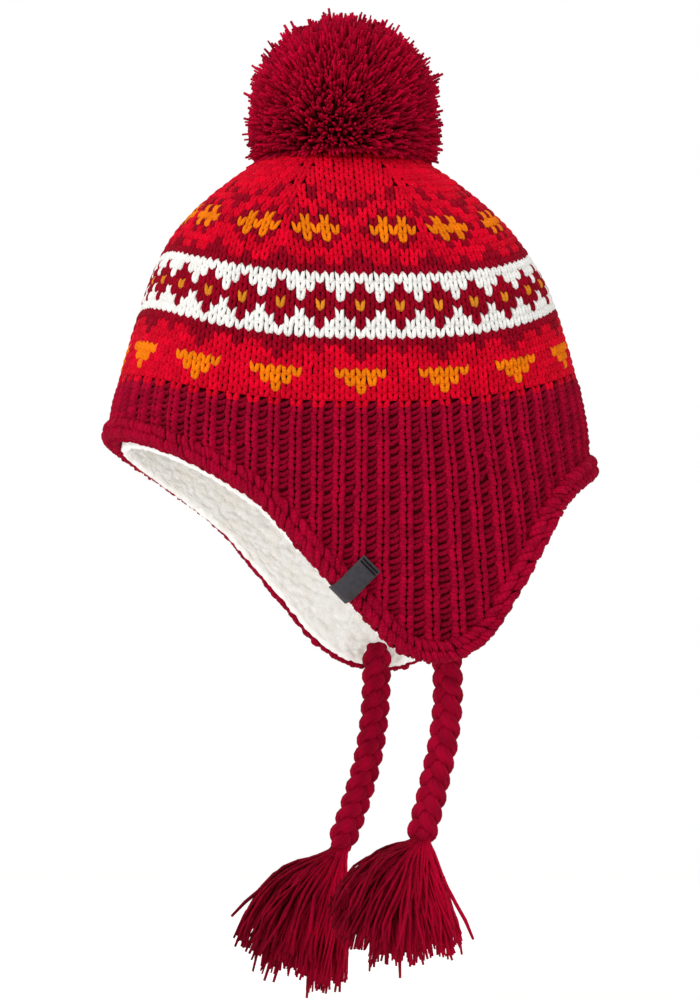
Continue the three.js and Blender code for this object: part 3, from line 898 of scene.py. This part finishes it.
# Chart of the pattern from the ribbing up, for the columns -3 to 4 of each motif:
# b bright red, d deep red, w white, o orange, y ochre
CHART = [
    "bbbbbbbb",
    "bbbobbbb",
    "bbooobbb",
    "booooobb",
    "bbbbbbbb",
    "bbbdbbbb",
    "bbdddbbd",
    "dddddddd",
    "wwwwwwww",
    "wwwdwwwd",
    "dwdddwdd",
    "dddydddy",
    "dwdddwdd",
    "wwwdwwwd",
    "wwwwwwww",
    "dddddddd",
    "bbdddbbd",
    "bbbdbbbb",
    "dbbbbbdb",
    "odbbbdod",
    "oodbdooo",
    "odbbbdod",
    "dbbdbbdb",
    "bbdddbbb",
    "bdbbbdbd",
    "bbbbbbbd",
    "bbbbbbbb",
    "bbbbbbbb",
]
CHART_FIRST_COLUMN = -3
# Rows that the pompom doesn't hide
CROWN_SEEN_ROWS = 36
# Width of a stitch, height of a row and radius of the yarn
CROWN_STITCH = (4.1, 3.6, 0.9)
RIB_STITCH = (4.3, RIB_ROW, 1.18)
# Rib stitches are wider and flatter than the crown's, so that the ribs stand close together
RIB_LEG = {"foot": 0.19, "lean": 0.28, "relief": 0.35}
PURL_RADIUS = 1.05
# How far stitches stray from even places, in columns
EVEN_STITCHES = 0.03
LOOSE_STITCHES = 0.08
# Depths of the backings below the outer face
CROWN_BACKING_DEPTH = 2.2
BAND_BACKING_DEPTH = 2.4
# How far stitches of one yarn differ in lightness
CROWN_SPREAD = {"b": 0.18, "d": 0.18, "w": 0.07, "o": 0.12, "y": 0.12}
YARNS = {
    "b": ("crown_knit_bright_red", BRIGHT_RED),
    "d": ("crown_knit_deep_red", DEEP_RED),
    "w": ("crown_knit_white", WHITE),
    "o": ("crown_knit_orange", ORANGE),
    "y": ("crown_knit_ochre", OCHRE),
}

panel_shift = float(
    np.interp(PANEL_PLACE, column_place(TABLE_SHARES[:513]), TABLE_SHARES[:513])
)
PANEL_SHARE = (round(panel_shift * COLUMNS) + COLUMN_SHIFT) / COLUMNS


def girth_of_row(row):
    shares = np.linspace(0, 1, 257)
    return lengths_along(face_point(shares, row_length(shares, np.full(257, row))))[-1]


ROW_TABLE = np.linspace(0, 0.97 * CROWN_ROWS, 60)
SPREAD_TABLE = np.array(
    [max(1, NARROWEST_COLUMN * COLUMNS / girth_of_row(row)) for row in ROW_TABLE]
)


def column_spread(row):
    """How many of the band's column widths a crown column takes at a row"""
    return np.interp(row, ROW_TABLE, SPREAD_TABLE)


def crown_place(panel_columns):
    """Placing function of the crown's stitches: column in its panel, row and rise"""

    def place(column, row, rise):
        centre = panel_columns[:, None]
        share = PANEL_SHARE + (centre + column * column_spread(row)) / COLUMNS
        return wall_point(share, row_length(share, row), STITCH_SINK - rise)

    return place


def knit_leg(side, column, row, radius, foot=0.08, lean=0.31, relief=1):
    """One leg of a knit stitch's V: round at its foot, in front of the V below, and leaning out
    to a pointed top that is sunk under the next V"""
    t = np.array([0, 0.14, 0.34, 0.58, 0.82, 1])
    across = side * (foot + lean * t**0.75)
    rise = relief * np.array([-0.3, 0.3, 0.5, 0.35, -0.05, -0.6])
    radii = radius * np.array([0.7, 1.0, 1.06, 1.0, 0.85, 0.45])
    path = np.stack([across, -0.2 + 1.55 * t, rise], 1)
    return Stroke(path, radii, column, row, sides=3)


def crown_stitches():
    """Panel, column and row of each stitch that the pompom leaves in sight, with its yarn"""
    found = {letter: [] for letter in YARNS}
    half = COLUMNS // PANELS // 2
    for row in range(CROWN_SEEN_ROWS):
        spread = float(column_spread(row + 0.5))
        for column in range(1 - half, half + 1):
            if column < half and abs(column) * spread > half - 0.28 * spread:
                continue
            chart_row = CHART[min(row, len(CHART) - 1)]
            letter = chart_row[(column - CHART_FIRST_COLUMN) % 8]
            for panel in range(PANELS):
                centre = panel * COLUMNS / PANELS
                if column == half:
                    found[letter].append((centre + half, 0, row))
                else:
                    found[letter].append((centre, column, row))
    return {letter: np.array(rows, float) for letter, rows in found.items()}


def make_crown():
    legs = [knit_leg(side, *CROWN_STITCH) for side in (-1, 1)]
    for seed, (letter, rows) in enumerate(crown_stitches().items()):
        name, colour = YARNS[letter]
        place = crown_place(rows[:, 0])
        seeds = (20 + seed, 20 + seed)
        points, faces, run = lay_all(
            legs, place, rows[:, 1], rows[:, 2], seeds, EVEN_STITCHES
        )
        yarn_name = "yarn_" + name.removeprefix("crown_knit_")
        material = yarn(yarn_name, colour, spread=CROWN_SPREAD[letter])
        make_piece(name, points, [faces], material, "crown", run)


def make_backing(name, lengths_at, rings, depth, node, material):
    """Thin closed wall behind the stitches, painted dark as the shade in the gaps between them"""
    shares = np.arange(160) / 160
    outer = [wall_point(shares, lengths_at(shares, t), depth + 0 * shares) for t in rings]
    inner = [wall_point(shares, lengths_at(shares, t), KNIT_WALL + 0 * shares) for t in rings]
    chain = np.array(outer + inner[::-1] + outer[:1])
    points = chain[:-1].reshape(-1, 3)
    faces = grid_faces(len(chain), 160) % len(points)
    make_piece(name, points, [faces], material, node)


def crown_rings(shares, t):
    return row_length(shares, t * CROWN_ROWS)


def band_rings(shares, t):
    return lerp(height_above_rim(shares, KNIT_END), row_length(shares, 0), t)


# Ribbed band


def rib_share(column, drop):
    """Share of the girth where a band column runs at a drop below the origin's level:
    behind the flaps the ribs lean backwards"""
    share = (column + COLUMN_SHIFT) / COLUMNS
    place = column_place(share)
    slope = RIB_LEAN * smoothstep(place, *RIB_LEAN_COMES) * (1 - smoothstep(place, *RIB_LEAN_GOES))
    return share + np.where(share % 1 < 0.5, 1, -1) * (slope * drop) / BAND_GIRTH


def band_place(column, row, rise):
    length = row_length((column + COLUMN_SHIFT) / COLUMNS, 0) + row * RIB_ROW
    share = rib_share(column, np.maximum(0, -length))
    relief = RIB_RELIEF * np.cos(math.pi * column) * smoothstep(-row, 0, RELIEF_ROWS)
    return wall_point(share, length, STITCH_SINK - rise - relief)


def purl_bump():
    """Purl stitch: a short arched tick of yarn across the groove"""
    t = np.linspace(-1, 1, 7)
    path = np.stack([0.5 * t, 0.32 * t + 0.35 * t**2, 0.35 - 0.3 * t**2 + 0.25 * t], 1)
    radii = PURL_RADIUS * (1 - 0.35 * t**2)
    return Stroke(path, radii, RIB_STITCH[0], RIB_ROW, sides=3)


def make_ribbing():
    knit, purl = [], []
    for column in range(COLUMNS):
        target, first = (knit, 1) if column % 2 == 0 else (purl, 0.85)
        top = float(row_length(np.array((column + COLUMN_SHIFT) / COLUMNS), 0))
        rows = first + np.arange(MOST_RIB_ROWS)
        drop = np.maximum(0, rows * RIB_ROW - top)
        low = height_above_rim(rib_share(np.full(len(rows), column), drop), KNIT_END - 1.0)
        target.extend((column, -row) for row in rows[top - rows * RIB_ROW > low])
    knit, purl = np.array(knit, float), np.array(purl, float)
    legs = [knit_leg(side, *RIB_STITCH, **RIB_LEG) for side in (-1, 1)]
    # The first row is still knitted with the crown's yarn
    first_row = knit[:, 1] == -1
    for name, rows, material in (
        ("band_first_row", knit[first_row], bright_yarn),
        ("band_knit_ribs", knit[~first_row], rib_yarn),
    ):
        points, faces, run = lay_all(
            legs, band_place, rows[:, 0], rows[:, 1], (40, 40), EVEN_STITCHES
        )
        make_piece(name, points, [faces], material, "ribbed_band", run)
    points, faces, run = lay_strokes(
        purl_bump(), band_place, purl[:, 0], purl[:, 1], 41, LOOSE_STITCHES
    )
    make_piece("band_purl_grooves", points, [faces], purl_yarn_painted_shade, "ribbed_band", run)


# Rolled edge

ROLL_CORE = 3.2
EDGE_PITCH = 4.2
EDGE_ROWS = 4
EDGE_ROW = 4.9
EDGE_STRANDS = (-1, 0, 1)
EDGE_YARN_RADIUS = 0.92
# Turn round the roll of the first row of loops and past the last, in radians
EDGE_WRAP = (-1.9, 2.9)
# The edge is this much thicker behind the flaps, between these places from front to back
EDGE_SWELL = 1.1
EDGE_SWELL_PLACES = (50, 75)


def edge_place(column, row, rise):
    around = lerp(*EDGE_WRAP, row / EDGE_ROWS)
    share = column / EDGE_COUNT
    swell = EDGE_SWELL * smoothstep(column_place(share), *EDGE_SWELL_PLACES)
    return roll_point(share, around, ROLL_CORE + swell + rise)


EDGE_COUNT = int(lengths_along(roll_centre)[-1] / EDGE_PITCH)


def edge_loop(strand):
    """One of the strands that lie side by side in each slanting lump of the curled edge"""
    t = np.linspace(-1, 1, 8)
    across = 0.3 * strand * (1 - 0.5 * t**2) + 0.55 * t
    rise = 1.45 - 0.4 * abs(strand) - 1.9 * t**2
    radii = EDGE_YARN_RADIUS * (1 - 0.3 * t**4)
    path = np.stack([across, 0.6 * t, rise], 1)
    return Stroke(path, radii, EDGE_PITCH, EDGE_ROW, sides=3, flat=1)


def make_edge():
    column, row = np.meshgrid(np.arange(EDGE_COUNT), np.arange(EDGE_ROWS), indexing="ij")
    column = (column + 0.5 * (row % 2)).ravel()
    row = row.ravel().astype(float)
    loops = [edge_loop(strand) for strand in EDGE_STRANDS]
    seeds = [50 + strand for strand in EDGE_STRANDS]
    points, faces, run = lay_all(loops, edge_place, column, row, seeds, LOOSE_STITCHES)
    # The rows run downwards on the outside, so the faces are turned over
    outward = faces[:, ::-1]
    make_piece("rolled_edge_loops", points, [outward], rib_yarn, "rolled_edge", run)
    make_edge_core()


def make_edge_core():
    """Packed yarn inside the rolled edge, coloured with painted shade as the gaps between the loops
    look
    """
    around, along = 16, 400
    shares = np.arange(along) / along
    turns = np.arange(around) * 2 * math.pi / around
    rings = [
        roll_point(shares, np.full(along, -turn), np.full(along, ROLL_CORE)) for turn in turns
    ]
    points = np.array(rings).reshape(-1, 3)
    faces = grid_faces(around + 1, along) % len(points)
    make_piece("rolled_edge_core", points, [faces], shade_yarn, "rolled_edge")


# Fleece lining

# Curls of the fleece, with finer ones on them, as shares of the curls' size and height
NUB_SIZE = 2.7
NUB_HEIGHT = 1.5
FINE_NUB_SIZE = 0.55
COARSE_NUB_SHARE = 0.75
FINE_NUB_SHARE = 0.35
LINING_COLUMNS = 560
LINING_ROWS = 80
LINING_CROWN_ROWS = 32
# The lining is closed by a cap past this share of the crown's rows, where the backing ends too
LINING_TOP = 0.96
# The lip covers the rolled edge at the front, and leaves a little of it in sight on the flaps
LIP_DROP_FRONT = 2.6
LIP_DROP_FLAP = -0.7
LIP_DROP_PLACES = (-50, -15)


def hashed(cells, seed):
    """Three numbers from 0 to 1 for each whole-numbered cell, the same in every run"""
    mixed = (cells[..., 0] * 73856093) ^ (cells[..., 1] * 19349663) ^ (cells[..., 2] * 83492791)
    mixed = (mixed ^ (seed * 2654435761)) & 0xFFFFFFFF
    numbers = []
    for _ in range(3):
        mixed = (mixed * 1664525 + 1013904223) & 0xFFFFFFFF
        mixed = mixed ^ (mixed >> 15)
        numbers.append((mixed & 0xFFFFFF) / 0xFFFFFF)
    return np.stack(numbers, -1)


def nubs(points, size, seed):
    """Height from 0 to 1 of rounded nubs round scattered points"""
    cells = np.floor(points / size).astype(np.int64)
    nearest = np.full(len(points), np.inf)
    for step in product((-1, 0, 1), repeat=3):
        corner = cells + np.array(step)
        centre = (corner + hashed(corner, seed)) * size
        nearest = np.minimum(nearest, np.linalg.norm(centre - points, axis=1))
    return np.sqrt(np.clip(1 - (nearest / size) ** 2 * 1.6, 0, 1))


def make_fleece():
    shares = np.arange(LINING_COLUMNS) / LINING_COLUMNS
    on_flap = smoothstep(column_place(shares), *LIP_DROP_PLACES)
    drop = lerp(LIP_DROP_FRONT, LIP_DROP_FLAP, on_flap)
    foot = height_above_rim(shares, 0.1) - drop
    start = height_above_rim(shares, FLEECE_END)
    border = row_length(shares, 0 * shares)
    outer = KNIT_WALL + SEAT_GAP
    lip = ROLL_INSET + ROLL_RADIUS + LIP_GAP
    face = outer + FLEECE_WALL
    rings, nap = [], []

    def add_ring(length, depth, amount):
        """Ring at a length up the profile and a depth, with the share of the nubs it takes"""
        rings.append(wall_point(shares, length, depth + 0 * shares))
        nap.append(np.full(LINING_COLUMNS, amount))

    for t in np.linspace(1, 0, 12)[1:]:
        add_ring(row_length(shares, LINING_TOP * t * CROWN_ROWS + 0 * shares), outer, 0)
    add_ring(start, outer, 0)
    add_ring(start, lip, 0.3)
    add_ring(lerp(start, foot, 0.5), lip, 0.6)
    add_ring(foot + 0.4, lip, 0.8)
    add_ring(foot, lip + LIP_THICKNESS * 0.5, 1)
    add_ring(foot + 0.6, face, 1)
    for t in np.linspace(0, 1, LINING_ROWS) ** 1.2:
        add_ring(lerp(foot + 1.4, border, t), face, 1)
    for t in np.linspace(0, LINING_TOP, LINING_CROWN_ROWS)[1:]:
        add_ring(row_length(shares, t * CROWN_ROWS + 0 * shares), face, 1)
    chain = np.array(rings)
    points = chain.reshape(-1, 3)
    amount = np.concatenate(nap)
    normals = grid_normals(chain).reshape(-1, 3)
    coarse = COARSE_NUB_SHARE * nubs(points, NUB_SIZE, 3)
    height = coarse + FINE_NUB_SHARE * nubs(points, NUB_SIZE * FINE_NUB_SIZE, 4)
    points = points + normals * (height * NUB_HEIGHT * amount)[:, None]
    faces = grid_faces(len(chain), LINING_COLUMNS)[:, ::-1]
    top = np.arange(LINING_COLUMNS)
    last = (len(chain) - 1) * LINING_COLUMNS
    middle = np.full_like(top, len(points))
    caps = np.concatenate(
        [
            np.stack([last + (top + 1) % LINING_COLUMNS, last + top, middle], 1),
            np.stack([top, (top + 1) % LINING_COLUMNS, middle + 1], 1),
        ]
    )
    apex = [wall_point(np.array(0.0), np.array(APEX_LENGTH), depth) for depth in (face, outer)]
    points = np.concatenate([points, apex])
    make_piece("sherpa_lining", points, [faces, caps], fleece, "fleece_lining")


def grid_normals(chain):
    """Outward normals of a grid of rings, from its neighbouring points"""
    round_step = np.roll(chain, -1, 1) - np.roll(chain, 1, 1)
    row_step = np.gradient(chain, axis=0)
    return unit(np.cross(row_step, round_step))


# Pompom

# Where the yarns are tied together, from the middle of the ball
POMPOM_TIE = np.array([0, -4, -11])
POMPOM_YARNS = 9400
POMPOM_YARN_RADIUS = 0.58
# The part of a yarn's length that is packed inside the ball and isn't made
POMPOM_PACKED = 0.64
# How far the yarns stray in direction, and in length as a share, and how far their tips bend
POMPOM_STRAY = 0.035
POMPOM_LENGTH_STRAY = 0.01
POMPOM_BEND = 1.7
# Thickness of a yarn from the part that shows to its tip
POMPOM_SWELL = (0.8, 1.0, 1.1, 0.8)
# Length in shares of the radius: of a yarn between tufts, and more for one in a tuft
POMPOM_REACH = 0.89
TUFT_REACH = 0.06
TUFT_SIZE = 11
# The yarns below hang this much longer, and those that point down more steeply are hidden
POMPOM_HANG = 0.13
POMPOM_LOWEST = -0.72
# Clearances over the crown of the lowest yarns and of the core, and the core's share of the ball
YARN_CLEARANCE = 0.8
CORE_CLEARANCE = 0.5
POMPOM_CORE = 0.8


def crown_height(points):
    """Height of the crown's outer face under points, near its top"""
    shares = np.linspace(0, 1, 96, endpoint=False)
    lengths = np.linspace(0.35 * APEX_LENGTH, APEX_LENGTH, 60)
    reach = np.linalg.norm(
        face_point(shares[None], lengths[:, None])[..., :2] + [0, CROWN_LEAN], axis=-1
    ).mean(1)
    heights = face_point(np.zeros(60), lengths)[:, 2]
    away = np.linalg.norm(points[..., :2] + [0, CROWN_LEAN], axis=-1)
    return np.interp(away, reach[::-1], heights[::-1])


def make_pompom():
    rng = np.random.default_rng(7)
    i = np.arange(POMPOM_YARNS) + 0.5
    z = 1 - 2 * i / POMPOM_YARNS
    turn = i * math.pi * (3 - math.sqrt(5))
    ring = np.sqrt(1 - z**2)
    direction = np.stack([ring * np.cos(turn), ring * np.sin(turn), z], 1)
    direction = unit(direction + rng.normal(0, POMPOM_STRAY, direction.shape))
    tuft = nubs(direction * POMPOM_RADIUS, TUFT_SIZE, 9)
    swell = 1 + POMPOM_HANG * smoothstep(-direction[:, 2], 0, 0.6)
    reach = POMPOM_REACH + TUFT_REACH * tuft + rng.normal(0, POMPOM_LENGTH_STRAY, len(i))
    length = POMPOM_RADIUS * swell * reach
    t = np.linspace(0, 1, 4)[None, :, None]
    tip = direction * length[:, None]
    root = lerp(POMPOM_TIE, tip, POMPOM_PACKED)
    bend = rng.normal(0, POMPOM_BEND, (len(i), 1, 3)) * t**2
    paths = lerp(root[:, None], tip[:, None], t) + bend + POMPOM_CENTRE
    # The lowest yarns in sight lie on the crown
    paths[..., 2] = np.maximum(paths[..., 2], crown_height(paths) + YARN_CLEARANCE)
    paths = paths[direction[:, 2] > POMPOM_LOWEST]
    radii = POMPOM_YARN_RADIUS * rng.uniform(0.8, 1.25, (len(paths), 1))
    radii = radii * np.array(POMPOM_SWELL)
    halves = paths[:, -1, 1] < POMPOM_CENTRE[1]
    for name, chosen in (("pompom_front_yarns", halves), ("pompom_back_yarns", ~halves)):
        points, faces, run = tubes(paths[chosen], radii[chosen], 4, 8, [0.31, 0.43, 0.85])
        make_piece(name, points, faces, pompom_yarn, "pompom", run)
    make_pompom_core()


def make_pompom_core():
    """Packed yarn inside the pompom, cut off at the crown, coloured with painted shade as the gaps
    between the yarns look
    """
    rows, columns = 24, 48
    tilt = np.linspace(0.02, math.pi - 0.02, rows)[:, None]
    turn = np.linspace(0, 2 * math.pi, columns, endpoint=False)[None]
    ball = np.stack(
        [np.sin(tilt) * np.cos(turn), np.sin(tilt) * np.sin(turn), np.cos(tilt) + 0 * turn], -1
    )
    points = ball[::-1] * POMPOM_RADIUS * POMPOM_CORE + POMPOM_CENTRE
    points[..., 2] = np.maximum(points[..., 2], crown_height(points) + CORE_CLEARANCE)
    points, faces = points.reshape(-1, 3), grid_faces(rows, columns)
    make_piece("pompom_core", points, [faces], shade_yarn, "pompom")


# Tab

TAB_PLACE = -11.2
TAB_LENGTH = 12.6
TAB_WIDTH = 9.6
TAB_THICKNESS = 0.9
TAB_CLEARANCE = 1.5
TAB_BEND_END = 0.97
TAB_STITCHES = 5
TAB_STITCH_LENGTH = 1.5
TAB_THREAD_RADIUS = 0.32
TAB_ROUNDING = 0.25
# How far the stitches arch over the tape, and keep from its sides
TAB_STITCH_ARCH = 0.25
TAB_STITCH_INSET = 1.4
# Distances of the two seams from the tab's upper end
TAB_SEAMS = (1.2, 2.6)


def tab_frame():
    """Middle of the rolled edge under the tab, with its outward, upward and onward directions"""
    left = TABLE_SHARES <= 0.5
    share = np.interp(TAB_PLACE, column_place(TABLE_SHARES[left]), TABLE_SHARES[left])
    out, up, centre = (
        np.array([np.interp(share, TABLE_SHARES, table[:, i]) for i in range(3)])
        for table in (roll_out, roll_up, roll_centre)
    )
    return centre, out, up, np.cross(out, up)


def make_tab():
    """Folded strip of tape with a sewn upper end"""
    centre, out, up, onward = tab_frame()
    level = ROLL_INSET + RIB_RELIEF + TAB_CLEARANCE + TAB_THICKNESS / 2
    radius = ROLL_RADIUS + TAB_CLEARANCE + TAB_THICKNESS / 2
    flat = np.linspace(TAB_LENGTH, ROLL_RADIUS + 1, 8)
    angle = np.linspace(0.5, TAB_BEND_END, 16) * math.pi
    bend = radius * np.stack([np.cos(angle), np.sin(angle)], 1)
    line = np.concatenate([np.stack([flat, level + 0 * flat], 1), bend])
    run = unit(np.gradient(line, axis=0))
    outward = np.stack([run[:, 1], -run[:, 0]], 1)
    outward *= np.sign(outward[0, 1])
    half_width, half, edge = TAB_WIDTH / 2, TAB_THICKNESS / 2, TAB_ROUNDING
    section = [
        (-half_width + edge, half), (half_width - edge, half), (half_width, half - edge),
        (half_width, edge - half), (half_width - edge, -half), (edge - half_width, -half),
        (-half_width, edge - half), (-half_width, half - edge),
    ]
    rings = []
    for aside, lift in section:
        spot = line + outward * lift
        rings.append(centre + spot[:, :1] * up + spot[:, 1:] * out + aside * onward)
    chain = np.array(rings).transpose(1, 0, 2)
    faces = grid_faces(len(line), len(section))
    ends = np.array([range(len(section))[::-1], range(len(section))])
    ends[1] += (len(line) - 1) * len(section)
    make_piece("side_tab_tape", chain.reshape(-1, 3), [faces, ends], tape, "side_tab")
    reach = half_width - TAB_STITCH_INSET
    paths, top = [], centre + out * (level + half)
    steps = np.linspace(0, 1, 5)[:, None]
    for seam in TAB_SEAMS:
        for aside in np.linspace(-reach, reach, TAB_STITCHES):
            start = top + up * (TAB_LENGTH - seam) + onward * (aside - TAB_STITCH_LENGTH / 2)
            arch = out * TAB_STITCH_ARCH * np.sin(math.pi * steps)
            paths.append(start + onward * TAB_STITCH_LENGTH * steps + arch)
    paths = np.array(paths)
    radii = np.full(paths.shape[:2], TAB_THREAD_RADIUS)
    points, faces, run = tubes(paths, radii, 6, 70, out + [0.01, 0.02, 0.03])
    make_piece("side_tab_thread", points, faces, thread, "side_tab", run)


make_camera()
make_studio()

bright_yarn = yarn("yarn_first_row", BRIGHT_RED)
rib_yarn = yarn("yarn_rib_crimson", RIB_CRIMSON)
# The purl stitches' yarn, painted darker as painted shade in the grooves
purl_yarn_painted_shade = yarn("yarn_purl_painted_shade", PURL_CRIMSON_PAINTED_SHADE)
tie_yarn = yarn("yarn_tie_crimson", TIE_CRIMSON, ply_lay=14, depth=0.15)
pompom_yarn = yarn(
    "yarn_pompom_crimson",
    POMPOM_CRIMSON,
    ply_lay=6,
    depth=0.2,
    fuzz=0.02,
    spread=0.35,
    ply_shade=0.05,
    root=15,
)
tassel_yarn = yarn(
    "yarn_tassel_crimson",
    TASSEL_CRIMSON,
    ply_lay=8,
    depth=0.12,
    spread=0.4,
    ply_shade=0.04,
)
shade_yarn = yarn("yarn_in_shade", SHADE_RED)
# Painted shade for the band's backing, as the gaps between its stitches look
groove_shade = yarn("yarn_in_groove_shade", GROOVE_SHADE)
fleece = sherpa_fleece("sherpa_fleece_cream", FLEECE_CREAM)
tape = woven_tape("satin_tape_charcoal", TAPE_GREY)
thread = yarn("sewing_thread_black", THREAD_BLACK, ply_lay=1.2)

for side, route, fan, turn_start, facing, seed in (
    ("left", LEFT_ROUTE, LEFT_FAN, 0.6, LEFT_FACING, 61),
    ("right", RIGHT_ROUTE, RIGHT_FAN, 2.2, RIGHT_FACING, 62),
):
    tassel = make_tassel(f"tassel_{side}_yarns", route, fan, tassel_yarn, f"tassel_{side}", seed)
    plait, node = f"plait_{side}_strands", f"braid_{side}"
    make_plait(plait, route, turn_start, facing, tie_yarn, node)

make_crown()
make_backing(
    "crown_backing",
    crown_rings,
    np.linspace(0, LINING_TOP, 30),
    CROWN_BACKING_DEPTH,
    "crown",
    shade_yarn,
)
make_ribbing()
make_backing(
    "band_backing",
    band_rings,
    np.linspace(0, 1, 12),
    BAND_BACKING_DEPTH,
    "ribbed_band",
    groove_shade,
)
make_edge()
make_fleece()
make_pompom()
make_tab()
